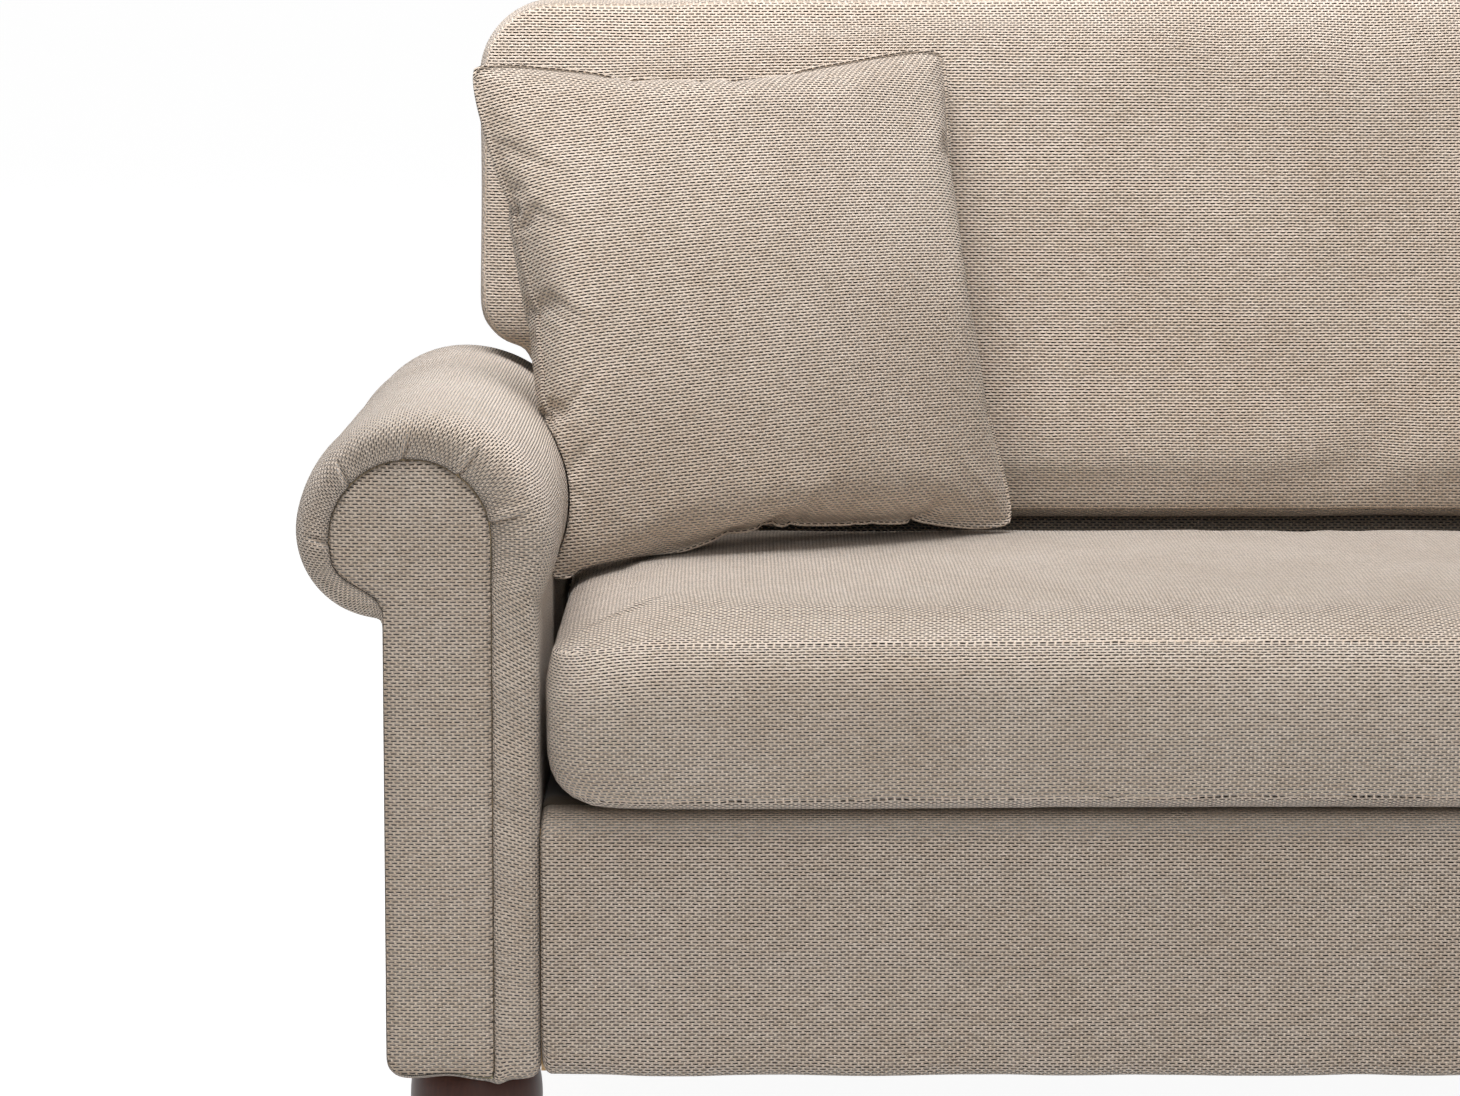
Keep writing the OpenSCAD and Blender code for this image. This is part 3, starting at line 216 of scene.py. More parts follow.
def woven(name, shade, yarn, gap_shade):
    """Weave on the UV map, in metres: rows of rounded bumps, every second row shifted by half a bump. The
    gaps are painted dark in the gap_shade colour as shade, darkest under the middle of each bump, and the
    strength of that painted shade varies over the cloth."""
    material, tree, shader = finish(name, Roughness=0.9, IOR=1.45, Sheen_Weight=0.55, Sheen_Roughness=0.4)
    shader.inputs["Sheen Tint"].default_value = linear("#fbf8f4")
    place = add(tree, "UVMap", uv_map="weave")
    wander = add(tree, "TexNoise", {"Vector": place, "Scale": 60.0, "Detail": 3.0}).outputs["Color"]
    wander = add(tree, "VectorMath", {0: wander, 1: (0.0022, 0.0011, 0.0)}, operation="MULTIPLY")
    wandered = add(tree, "VectorMath", {0: place, 1: wander}, operation="ADD")
    axes = add(tree, "SeparateXYZ", {0: wandered}).outputs
    in_rows = add(tree, "Math", {0: axes["Y"], 1: 1 / bump_row}, operation="MULTIPLY")
    row = add(tree, "Math", {0: in_rows}, operation="FLOOR")
    shift = add(tree, "Math", {0: row, 1: 2.0}, operation="FLOORED_MODULO")
    in_columns = add(tree, "Math", {0: axes["X"], 1: 1 / bump_column}, operation="MULTIPLY")
    in_columns = add(tree, "Math", {0: shift, 1: 0.5, 2: in_columns}, operation="MULTIPLY_ADD")
    column = add(tree, "Math", {0: in_columns}, operation="FLOOR")
    places = []
    for run in (in_columns, in_rows):
        place_in = add(tree, "Math", {0: run}, operation="FRACT")
        places.append(add(tree, "Math", {0: place_in, 1: 2.0, 2: -1.0}, operation="MULTIPLY_ADD"))
    side_u = add(tree, "Math", {0: places[0]}, operation="ABSOLUTE")
    side_v = add(tree, "Math", {0: places[1]}, operation="ABSOLUTE")
    smooth = {"interpolation_type": "SMOOTHSTEP"}
    high_u = add(tree, "MapRange", {"Value": side_u, 1: 1.0, 2: 0.45}, **smooth)
    high_v = add(tree, "MapRange", {"Value": side_v, 1: 1.0, 2: 0.0}, **smooth)
    dome = add(tree, "Math", {0: high_u, 1: high_v}, operation="MULTIPLY")
    cell = add(tree, "CombineXYZ", {0: column, 1: row})
    bump_tone = add(tree, "TexWhiteNoise", {"Vector": cell}, noise_dimensions="2D").outputs["Value"]
    uneven = add(tree, "TexNoise", {"Vector": place, "Scale": 170.0, "Detail": 2.0})
    # How strong the painted shade in the gaps is, varying over the cloth
    gap_shade_strength = add(tree, "MapRange", {"Value": uneven, 1: 0.35, 2: 0.6, 3: 0.72, 4: 1.0})
    # Painted shade: the gaps take the gap_shade colour, most under the middle of each bump, as self-shadow
    below = add(tree, "MapRange", {"Value": places[1], 1: 0.1, 2: -0.4}, **smooth)
    short = add(tree, "MapRange", {"Value": side_u, 1: 0.86, 2: 0.5}, **smooth)
    pit = add(tree, "Math", {0: below, 1: short}, operation="MULTIPLY")
    painted_gap_shade = add(tree, "Math", {0: pit, 1: gap_shade_strength}, operation="MULTIPLY")
    cloudy = add(tree, "TexNoise", {"Vector": place, "Scale": 7.0, "Detail": 3.0})
    tone = add(tree, "Math", {0: bump_tone, 1: 0.45, 2: cloudy}, operation="MULTIPLY_ADD")
    tone = add(tree, "MapRange", {"Value": tone, 1: 0.3, 2: 1.1})
    fibres = add(tree, "TexNoise", {"Vector": place, "Scale": 2600.0, "Detail": 2.0})
    height = add(tree, "Math", {0: bump_tone, 1: 0.2, 2: dome}, operation="MULTIPLY_ADD")
    height = add(tree, "Math", {0: fibres, 1: 0.22, 2: height}, operation="MULTIPLY_ADD")
    height = add(tree, "Math", {0: pit, 1: -0.6, 2: height}, operation="MULTIPLY_ADD")
    surface(tree, shader, painted_gap_shade, mix(tree, tone, shade, yarn), gap_shade, height, 1.0, 0.0018)
    return material


# The last colour, nearly black, is painted shade in the gaps between the yarns
linen = woven("linen_weave_upholstery", "#d6c0a9", "#f1dfcc", "#1a0f08")

# Arms
#
# Each arm is a padded box with a roll along its top that curls under on the outside. The fabric is one
# sleeve, drawn forward over the roll and gathered in pleats round the front facing.


def finished(name, mesh, material, weld=0.0, closed=True):
    """An object made of a mesh. Points within the weld distance become one, and the faces of a closed shape
    are turned outward."""
    shell = bmesh.new()
    shell.from_mesh(mesh)
    if weld:
        bmesh.ops.remove_doubles(shell, verts=shell.verts, dist=weld)
    if closed:
        bmesh.ops.recalc_face_normals(shell, faces=shell.faces)
    shell.to_mesh(mesh)
    shell.free()
    mesh.materials.append(material)
    piece = bpy.data.objects.new(name, mesh)
    bpy.context.collection.objects.link(piece)
    return piece


def grid_mesh(name, patches, material, closed=True):
    """One mesh from patches. A patch is a grid of points with a grid of UVs in metres: one more UV column
    than points where the grid runs round and meets itself, and an optional mask of the squares to keep.
    Patches are welded where they meet, and a closed shape has its faces turned outward."""
    points, corners, uvs, start = [], [], [], 0
    for grid, uv, *masks in patches:
        rows, columns = grid.shape[:2]
        wide = uv.shape[1]
        r = np.arange(rows - 1)[:, None]
        c = np.arange(wide - 1)[None, :]
        low, high, after = r * columns, (r + 1) * columns, (c + 1) % columns
        square = np.stack([low + c, low + after, high + after, high + c], -1)
        low, high = r * wide + c, (r + 1) * wide + c
        square_uv = np.stack([low, low + 1, high + 1, high], -1)
        mask = masks[0] if masks else np.ones(square.shape[:2], bool)
        points.append(grid.reshape(-1, 3))
        corners.append(square[mask] + start)
        uvs.append(uv.reshape(-1, 2)[square_uv[mask]])
        start += rows * columns
    points, corners, uvs = np.concatenate(points), np.concatenate(corners), np.concatenate(uvs)
    mesh = bpy.data.meshes.new(name)
    mesh.vertices.add(len(points))
    mesh.vertices.foreach_set("co", points.astype(np.float32).ravel())
    mesh.loops.add(corners.size)
    mesh.loops.foreach_set("vertex_index", corners.astype(np.int32).ravel())
    mesh.polygons.add(len(corners))
    mesh.polygons.foreach_set("loop_start", np.arange(0, corners.size, 4, dtype=np.int32))
    mesh.update(calc_edges=True)
    mesh.uv_layers.new(name="weave").data.foreach_set("uv", uvs.astype(np.float32).ravel())
    piece = finished(name, mesh, material, 0.00005, closed)
    mesh.polygons.foreach_set("use_smooth", np.ones(len(mesh.polygons), bool))
    return piece


def arc_lengths(path):
    """Distance along a path to each of its points."""
    return np.concatenate([[0], np.cumsum(np.linalg.norm(np.diff(path, axis=0), axis=1))])


def resample(path, count, places=None):
    """Points at even distances along a path, or at the given distances."""
    run = arc_lengths(path[:, :2])
    places = np.linspace(0, run[-1], count) if places is None else places
    return np.stack([np.interp(places, run, path[:, k]) for k in range(path.shape[1])], 1)


def rounded(path, count, passes):
    """Even points along a path, with its corners eased by averaging each point with its neighbours. The
    ends stay in place."""
    path = resample(path, count)
    for _ in range(passes):
        path[1:-1] = path[1:-1] * 0.5 + (path[:-2] + path[2:]) * 0.25
    return path


def ripple(a, b, size, seed):
    """Soft unevenness from about -1 to 1: six sine waves with random directions, lengths near size and
    phases, added together."""
    rng = np.random.default_rng(seed)
    total = np.zeros(np.broadcast(a, b).shape)
    for _ in range(6):
        angle, phase = rng.uniform(0, 2 * math.pi, 2)
        pace = 2 * math.pi / (size * rng.uniform(0.7, 1.6))
        total = total + np.sin(pace * (a * math.cos(angle) + b * math.sin(angle)) + phase)
    return total / 3


def right_of(path):
    """Unit vectors that point square to the right all along a closed path."""
    ahead = np.roll(path, -1, 0) - np.roll(path, 1, 0)
    ahead = ahead / np.linalg.norm(ahead, axis=1)[:, None]
    return np.stack([ahead[:, 1], -ahead[:, 0]], 1)


def pairs(a, b):
    """A grid of number pairs from a row, a column or a grid of each."""
    return np.stack(np.broadcast_arrays(a, b), -1)


def circle(x, z, r, angles):
    """Points on a circle at these angles in degrees."""
    a = np.radians(angles)
    return np.stack([x + r * np.cos(a), z + r * np.sin(a)], 1)


def line(p, q, count):
    """Points from p up to, but not including, q."""
    s = np.arange(count)[:, None] / count
    return np.array(p) * (1 - s) + np.array(q) * s


front_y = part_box("arm_cover_right")[0].y
arm_in = 0.765
arm_w = 0.126
arm_depth = 0.695
arm_bottom = 0.1
roll_r = 0.107
roll_x, roll_z = 0.858, 0.542
curl_r = 0.070
curl_from = 10
curl_x = roll_x + (roll_r - curl_r) * math.cos(math.radians(curl_from))
curl_z = roll_z + (roll_r - curl_r) * math.sin(math.radians(curl_from))
facing_r = 0.064
facing_x = 0.869
facing_left = facing_x - facing_r
facing_step = 0.0019
facing_right = arm_in + arm_w - facing_step
seam_gap = 0.0015
facing_sill = 0.0010
roll_start = 180 + math.degrees(math.asin(math.sqrt(1 - ((roll_x - arm_in) / roll_r) ** 2)))
roll_end = -90 - math.degrees(math.asin((curl_x - arm_in - arm_w) / curl_r))
facing_end = -16
pleat_angles = np.linspace(168, 2, 5)
scroll = np.linspace(roll_start, roll_end, 400)
on_roll = (scroll > curl_from)[:, None]
scroll_outer = np.where(on_roll, circle(roll_x, roll_z, roll_r, scroll),
                        circle(curl_x, curl_z, curl_r, scroll))
head = circle(facing_x, roll_z, facing_r + seam_gap, scroll)
head[:, 0] = np.where(scroll > 180, facing_left - seam_gap, head[:, 0])
tail = np.clip((facing_end - scroll) / (facing_end - roll_end), 0, 1)[:, None]
tail_from = circle(facing_x, roll_z, facing_r + seam_gap, np.array([facing_end]))[0]
tail_to = np.array([facing_right + seam_gap, curl_z - curl_r + 0.002])
tail_near, tail_far = tail_from + [-0.004, -0.018], tail_to + [0.0, 0.022]
tail = (tail_from * (1 - tail) ** 3 + tail_near * 3 * tail * (1 - tail) ** 2
        + tail_far * 3 * tail ** 2 * (1 - tail) + tail_to * tail ** 3)
scroll_inner = np.where(scroll[:, None] > facing_end, head, tail)

corner_in, corner_out = 0.006, 0.014
sill = arm_bottom + facing_sill
outer = np.concatenate([
    line([arm_in + arm_w / 2, arm_bottom], [arm_in + corner_in, arm_bottom], 40),
    circle(arm_in + corner_in, arm_bottom + corner_in, corner_in, np.linspace(270, 180, 16)),
    line([arm_in, arm_bottom + corner_in + 0.001], scroll_outer[0], 160), scroll_outer,
    line([arm_in + arm_w, scroll_outer[-1][1] - 0.001], [arm_in + arm_w, arm_bottom + corner_out], 150),
    circle(arm_in + arm_w - corner_out, arm_bottom + corner_out, corner_out, np.linspace(0, -90, 24)),
    line([arm_in + arm_w - corner_out - 0.001, arm_bottom], [arm_in + arm_w / 2, arm_bottom], 40)])
inner = np.concatenate([
    line([(facing_left + facing_right) / 2, sill], [facing_left - seam_gap + 0.004, sill], 40),
    circle(facing_left - seam_gap + 0.004, sill + 0.004, 0.004, np.linspace(270, 180, 16)),
    line([facing_left - seam_gap, sill + 0.005], scroll_inner[0], 160), scroll_inner,
    line(scroll_inner[-1], [facing_right + seam_gap, sill + 0.0135], 150),
    circle(facing_right + seam_gap - 0.0135, sill + 0.0135, 0.0135, np.linspace(0, -90, 24)),
    line([facing_right + seam_gap - 0.0145, sill], [(facing_left + facing_right) / 2, sill], 40)])

# Even places round the outline, closer together at the pleats and at the seam across the inner band
both = rounded(np.concatenate([np.hstack([outer, inner]), np.hstack([outer, inner])[:1]]), 900, 14)
run = arc_lengths(both[:, :2])
over = np.arange(len(both))
angle_at = np.degrees(np.arctan2(both[:, 1] - roll_z, both[:, 0] - roll_x))
angle_at = np.where(angle_at < -150, angle_at + 360, angle_at)
on_scroll = (both[:, 1] > curl_z - curl_r + 0.004) & (over > 60) & (over < 800)
pleat_places = np.array([
    run[np.argmin(np.where(on_scroll, np.abs(angle_at - a), 999))] for a in pleat_angles])
join_place = run[np.argmin(np.where(over < 400, np.abs(both[:, 1] - 0.316), 9))]
fine = np.arange(-0.016, 0.0161, 0.0009)
places = np.unique(np.round(np.concatenate(
    [np.linspace(0, run[-1], 420)[:-1]] + [p + fine for p in pleat_places]
    + [join_place + fine[::2] / 4]), 5))
places = places[np.concatenate([[True], np.diff(places) > 0.0004])]
rim = resample(both, 0, places)
rim_outer, rim_inner = rim[:, :2], rim[:, 2:]

# Rows from the back end forward along the sleeve, then over the padded band and into the seam
band_tight = rounded(np.array([
    [0, 0.085], [0, 0.030], [0.0, 0.018], [0.03, 0.0090], [0.09, 0.0042], [0.22, 0.0007], [0.5, 0.0],
    [0.76, 0.0010], [0.91, 0.0036], [0.985, 0.0085], [1.0, 0.0125], [1.0, 0.016]]) * [0.045, 1], 64, 3)
band_full = rounded(np.array([
    [0, 0.085], [0.002, 0.066], [0.012, 0.050], [0.035, 0.036], [0.075, 0.0245], [0.13, 0.0155],
    [0.2, 0.0088], [0.29, 0.0042], [0.4, 0.0013], [0.54, 0.0], [0.70, 0.0006], [0.84, 0.0026],
    [0.93, 0.0056], [0.98, 0.0092], [1.0, 0.0130], [1.0, 0.016]]) * [0.045, 1], 64, 3)
sleeve_d = np.concatenate([[arm_depth - 0.003, arm_depth - 0.0005, arm_depth - 0.003, arm_depth - 0.009],
                           np.linspace(arm_depth - 0.03, 0.1, 26)])
sleeve_in = np.concatenate([[0.011, 0.007, 0.0025, 0.0], np.zeros(26)])


def ease(value, low, high):
    """0 below low, 1 above high, and a smooth step between them."""
    s = np.clip((value - low) / (high - low), 0, 1)
    return s * s * (3 - 2 * s)


full = ease(rim_outer[:, 1], 0.44, 0.53)[None, :]
band = band_tight[:, :, None] * (1 - full) + band_full[:, :, None] * full
row_t = np.concatenate([np.zeros((len(sleeve_d), len(rim))), band[:, 0] / 0.045])
row_d = np.concatenate([sleeve_d[:, None] + np.zeros((1, len(rim))), band[:, 1]])
row_in = np.concatenate([sleeve_in, np.zeros(len(band))])[:, None]
inward = right_of(rim_outer)
x = rim_outer[:, 0] * (1 - row_t) + rim_inner[:, 0] * row_t + inward[:, 0] * row_in
z = rim_outer[:, 1] * (1 - row_t) + rim_inner[:, 1] * row_t + inward[:, 1] * row_in


# A pleat is a narrow groove with a raised lip of cloth on its upper side, both fading towards the roll
depth = row_d + 0 * x
reach = 1 - 0.38 * row_t
for k, place in enumerate(pleat_places):
    away = (places - place) * reach - 0.006 * (1 - row_t) * (1 if k < 2 else -1)
    fade = ease(row_t, 0.22, 0.8)
    depth += 0.0052 * fade * np.exp(-(away / 0.0016) ** 2)
    depth -= 0.0026 * fade * np.exp(-((away - 0.0045) / 0.0034) ** 2)
    depth += 0.0012 * fade * np.exp(-((away + 0.009) / 0.0075) ** 2)
depth += 0.0016 * ease(row_t, 0.05, 0.3) * np.exp(-((places - join_place) / 0.0011) ** 2)
depth += 0.0007 * ripple(places + 0 * x, row_t * 0.05, 0.05, 3) * ease(row_t, 0.0, 0.2)
swell = 0.0010 * ripple(places + 0 * x, row_d + 0 * x, 0.17, 5)
swell = swell * ease(row_d, 0.02, 0.08) * ease(z, 0.12, 0.2)
x = x - inward[:, 0] * swell
z = z - inward[:, 1] * swell
hem = ease(-z, -0.125, -0.102) * ease(-row_d, -0.2, -0.05)
tuck = np.exp(-((x - facing_left + 0.006) / 0.006) ** 2)
z = z + hem * (0.0016 * ripple(x, 0 * x, 0.06, 8) - 0.0030 * tuck)
arm_points = np.stack([x, front_y + depth, z], -1)
row_run = np.concatenate([arm_depth - sleeve_d, arm_depth - 0.1 + np.cumsum(
    np.hypot(np.diff(band_full[:, 1], prepend=0.1), np.diff(band_full[:, 0], prepend=0)))])
arm_uv = pairs(row_run[:, None], np.append(places, run[-1]))
middle_x = (x[:-1] + np.roll(x, -1, 1)[:-1]) / 2
under_arm = (z[:-1] < arm_bottom + 0.002) & (np.abs(middle_x - arm_in - arm_w / 2) < arm_w / 2 - 0.02)
open_below = under_arm & (row_d[:-1] > 0.02) & (row_d[:-1] < arm_depth - 0.02)


def both_sides(name, patches, material, body="frame", closed=True):
    """The right-hand piece and its mirror image on the left. The mirrored grid's columns run the other way
    round, so that its faces also point outward."""
    made = []
    for side in ("right", "left"):
        turned = patches
        if side == "left":
            turned = [[p[0] * [-1, 1, 1]] + list(p[1:]) for p in patches]
        piece = grid_mesh(name + "_" + side, turned, material, closed)
        if side == "left" and not closed:
            piece.data.flip_normals()
        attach(piece, body)
        made.append(piece)
    return made


wad_thin = 0.0035
band_wide = np.linalg.norm(rim_outer - rim_inner, axis=1)
wad_in = np.where(row_d > 0.06, wad_thin, np.minimum(wad_thin, band_wide * 0.5))
wad_in = wad_in * (1 - ease(row_t, 0.05, 0.45)) + 0 * x
wad_back = 0.014 * ease(-band_wide, -0.02, -0.008) * ease(-row_d, -0.08, -0.05)
wad = arm_points + np.stack([inward[:, 0] * wad_in, wad_back, inward[:, 1] * wad_in], -1)
wad[..., 1] += 0.0065 + 0.012 * ease(row_t, 0.7, 0.95)
wad[..., 1] = np.minimum(wad[..., 1], front_y + arm_depth - 0.004)
picked = np.arange(4, len(wad), 2)
for piece in both_sides("arm_wadding", [[wad[picked], arm_uv[picked], ~open_below[picked[:-1]]]], padding):
    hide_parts(piece.name.replace("arm_wadding", "arm_padding"))
for piece in both_sides("arm_sleeve", [[arm_points, arm_uv, ~open_below]], linen):
    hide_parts(piece.name.replace("arm_sleeve", "arm_cover"))

# Arm facings
#
# A flat keyhole panel of the same cloth on card, pushed into the gathered opening at the front of each arm,
# and a plain one as large as the arm that closes the back end.


def facing_points(outline, z_low, z_high, rows, columns, profile, low_edge=True):
    """A panel inside an outline. Each row is level, from the outline's left side to its right side, with the
    columns closer at both ends, and the depth follows the distance to the nearest edge by a profile."""
    top = np.argmax(outline[:, 1])
    left, right = outline[:top + 1], outline[top:][::-1]
    up = (1 - np.cos(np.linspace(0, math.pi, rows))) / 2
    level = z_low + (z_high - z_low) * up
    x0 = np.interp(level, left[:, 1], left[:, 0])
    x1 = np.interp(level, right[:, 1], right[:, 0])
    share = np.sin(np.linspace(-math.pi / 2, math.pi / 2, columns)) / 2 + 0.5
    x = x0[:, None] * (1 - share) + x1[:, None] * share
    z = level[:, None] + 0 * x
    near = np.full(x.shape, 9.0)
    for point in outline[::2]:
        near = np.minimum(near, np.hypot(x - point[0], z - point[1]))
    near = np.minimum(near, z_high - z)
    near[:, 0] = near[:, -1] = near[-1] = 0
    if low_edge:
        near = np.minimum(near, z - z_low)
    return x, z, np.interp(near, profile[0], profile[1])


edge = rim_inner[(rim_inner[:, 1] > sill + 0.0006)]
start = np.argmin(edge[:, 1] + 10 * (edge[:, 0] > facing_x))
edge = np.roll(edge, -start, 0)
shrink = np.array([(facing_left + facing_right) / 2, 0]) - edge
edge = edge + np.stack([np.sign(shrink[:, 0]) * 0.0003, -0.0003 * ease(edge[:, 1], 0.55, 0.6)], 1)
dome = [[0, 0.0008, 0.0025, 0.006, 0.014, 0.03, 0.05],
        [0.0125, 0.0085, 0.0058, 0.0044, 0.0036, 0.0030, 0.0028]]
x, z, d = facing_points(edge, edge[:, 1].min(), edge[:, 1].max(), 260, 90, dome)
outer_side = ease(x, facing_x, facing_right - 0.004) * ease(-z, -0.500, -0.470)
low_corner = ease(-z, -0.112, -0.104) * ease(-x, -facing_right + 0.002, -facing_right + 0.010)
d = d + 0.0004 * ripple(x, z, 0.06, 11) - np.maximum(outer_side, low_corner) * np.maximum(d - 0.0048, 0)
z = z + ease(-z, -0.125, -0.102) * (0.0016 * ripple(x, 0 * x, 0.06, 8))
panel = [np.stack([x, front_y + d, z], -1), np.stack([x, z], -1)]
for piece in both_sides("arm_facing_panel", [panel], linen, closed=False):
    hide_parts(piece.name.replace("arm_facing_panel", "arm_facing"))

above = rim_outer[:, 1] > arm_bottom + 0.004
rear_edge = rim_outer[above] + inward[above] * 0.0085
rear_edge = np.roll(rear_edge, -np.argmin(rear_edge[:, 1] + 10 * (rear_edge[:, 0] > arm_in + 0.06)), 0)
flat = [[0, 0.001, 0.004, 0.02, 0.05], [0.0035, 0.0018, 0.0008, 0.0, -0.0006]]
x, z, d = facing_points(rear_edge, rear_edge[:, 1].min(), rear_edge[:, 1].max(), 200, 60, flat)
panel = [np.stack([x, front_y + arm_depth - d, z], -1)[:, ::-1], np.stack([x, z], -1)[:, ::-1]]
for piece in both_sides("arm_back_panel", [panel], linen, closed=False):
    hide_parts(piece.name.replace("arm_back_panel", "arm_back_facing"))

# Front rail cover
#
# One strip of the same cloth over a thin pad, pulled tight round the front rail and stapled on top and
# underneath. Its ends turn back behind the face of the rail.

rail_x = 0.7644
rail_top = 0.3185
rail_round = 0.013
top_round = 0.030
rail_front = 0.002
rail_profile = np.concatenate([
    line([0.050, rail_top], [rail_front + top_round, rail_top], 12),
    circle(rail_front + top_round, rail_top - top_round, top_round, np.linspace(90, 180, 18)),
    line([rail_front, rail_top - top_round - 0.001], [rail_front, arm_bottom + rail_round], 60),
    circle(rail_front + rail_round, arm_bottom + rail_round, rail_round, np.linspace(180, 270, 14)),
    [[rail_front + rail_round + 0.001, arm_bottom], [0.033, arm_bottom]]])
rail_profile = resample(rail_profile, 90)
rail_run = arc_lengths(rail_profile)
ends = np.sin(np.linspace(-math.pi / 2, math.pi / 2, 41)) * 0.02
rail_u = np.concatenate([-rail_x + 0.02 + ends[:20], np.linspace(-rail_x + 0.021, rail_x - 0.021, 320),
                         rail_x - 0.02 + ends[21:]])
x = rail_u[None, :] + 0 * rail_run[:, None]
d = rail_profile[:, :1] + 0 * x
z = rail_profile[:, 1:] + 0 * x
from_end = rail_x - np.abs(x)
end_bevel = 0.008
tuck = end_bevel - np.sqrt(end_bevel ** 2 - np.clip(end_bevel - from_end, 0, end_bevel) ** 2)
shown = ease(-d, -0.045, -0.02)
d = d + shown * (tuck + 0.0009 * ripple(x, z, 0.16, 21) + 0.0005 * ripple(x, z * 3, 0.06, 22))
rail_mid = 0.212
z = z + tuck * 0.7 * np.where(z < rail_mid, 1, -1) * (np.abs(z - rail_mid) > 0.09)
end_corner = 0.009
corner_lift = end_corner - np.sqrt(end_corner ** 2 - np.clip(end_corner - from_end, 0, end_corner) ** 2)
z = z + (corner_lift + 0.0010 * ripple(x, 0 * x, 0.09, 23)) * ease(-z, -0.14, -0.11)
turn_in = np.array([0.046, 0.030, 0.014])
d = np.hstack([np.maximum(d[:, :1], turn_in), d, np.maximum(d[:, -1:], turn_in[::-1])])
x = np.hstack([x[:, [0] * 3], x, x[:, [-1] * 3]])
z = np.hstack([z[:, [0] * 3], z, z[:, [-1] * 3]])
rail_u = np.concatenate([rail_u[0] - turn_in, rail_u, rail_u[-1] + turn_in[::-1]])
rail_uv = pairs(rail_u, -rail_run[:, None])
rail_grid = np.stack([x, front_y + d, z], -1)
rail_cover = grid_mesh("front_rail_cloth", [[rail_grid, rail_uv]], linen, closed=False)
under_cloth = np.stack([x * 0.997, front_y + np.maximum(d, 0) + 0.0028,
                        rail_mid + (z - rail_mid) * 0.976], -1)
wadding = grid_mesh("front_rail_wadding", [[under_cloth[::3, ::2], rail_uv[::3, ::2]]], padding,
                    closed=False)
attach(wadding, "frame")
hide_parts("front_rail_pad")
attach(rail_cover, "frame")
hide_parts("front_rail_cover")

# Rear cover of the base
#
# A flat panel of cloth across the back of the base. It is turned round both corners behind the arms and
# stapled below.

low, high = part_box("rear_rail_cover")
corner = 0.005
across = np.sin(np.linspace(0, math.pi / 2, 10))
along = 1 - np.cos(np.linspace(0, math.pi / 2, 10))
plan = np.concatenate([
    line([low.x, low.y], [low.x, high.y - corner], 8),
    np.stack([low.x + corner * along, high.y - corner * (1 - across)], 1),
    line([low.x + corner + 0.001, high.y], [high.x - corner, high.y], 240),
    np.stack([high.x - corner * (1 - across), high.y - corner * along], 1),
    [[high.x, high.y - corner - 0.001], [high.x, low.y]]])
plan_run = arc_lengths(plan)
edge_in = np.array([0.012, 0.004, 0.0012, 0.0])
rise = np.concatenate([low.z + np.array([0.0, 0.0, 0.0015, 0.004]),
                       np.linspace(low.z + 0.008, high.z - 0.008, 40),
                       high.z - np.array([0.004, 0.0015, 0.0, 0.0])])
drawn_in = np.concatenate([edge_in, np.zeros(40), edge_in[::-1]])
wave = 0.0008 * ripple(plan_run[None, :], rise[:, None], 0.14, 31)
out = np.stack([np.where(np.abs(plan[:, 0]) > high.x - 0.004, np.sign(plan[:, 0]), 0),
                np.where(plan[:, 1] > high.y - 0.004, 1.0, 0.0)], 1)
x = plan[None, :, 0] - out[None, :, 0] * drawn_in[:, None]
y = plan[None, :, 1] - out[None, :, 1] * (drawn_in[:, None] + 0.001 - wave)
patch = [np.stack([x, y, rise[:, None] + 0 * x], -1)[::-1], pairs(plan_run, rise[:, None])[::-1]]
rear_cloth = grid_mesh("rear_base_cloth", [patch], linen, closed=False)
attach(rear_cloth, "frame")
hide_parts("rear_rail_cover")

# Seat deck
#
# A thin pad that lies flat on the springs, covered in plain lining cloth. It shows only when the seat
# cushion is out.


def lining(name, pale, shade, pitch):
    """Plain weave on the UV map: over and under in both directions, pitch metres from yarn to yarn."""
    material, tree, shader = finish(name, Roughness=0.92, IOR=1.45, Sheen_Weight=0.2)
    place = add(tree, "UVMap", uv_map="weave")
    turned = add(tree, "Mapping", {"Vector": place, "Scale": [math.pi / pitch, math.pi / pitch, 1.0]})
    axes = add(tree, "SeparateXYZ", {0: turned}).outputs
    a = add(tree, "Math", {0: axes["X"]}, operation="SINE")
    b = add(tree, "Math", {0: axes["Y"]}, operation="SINE")
    over = add(tree, "Math", {0: a, 1: b}, operation="MULTIPLY")
    blotch = add(tree, "TexNoise", {"Vector": place, "Scale": 20.0, "Detail": 3.0})
    level = add(tree, "Math", {0: over, 1: 0.35, 2: blotch}, operation="MULTIPLY_ADD")
    surface(tree, shader, level, shade, pale, over, 0.5, 0.0003)
    return material


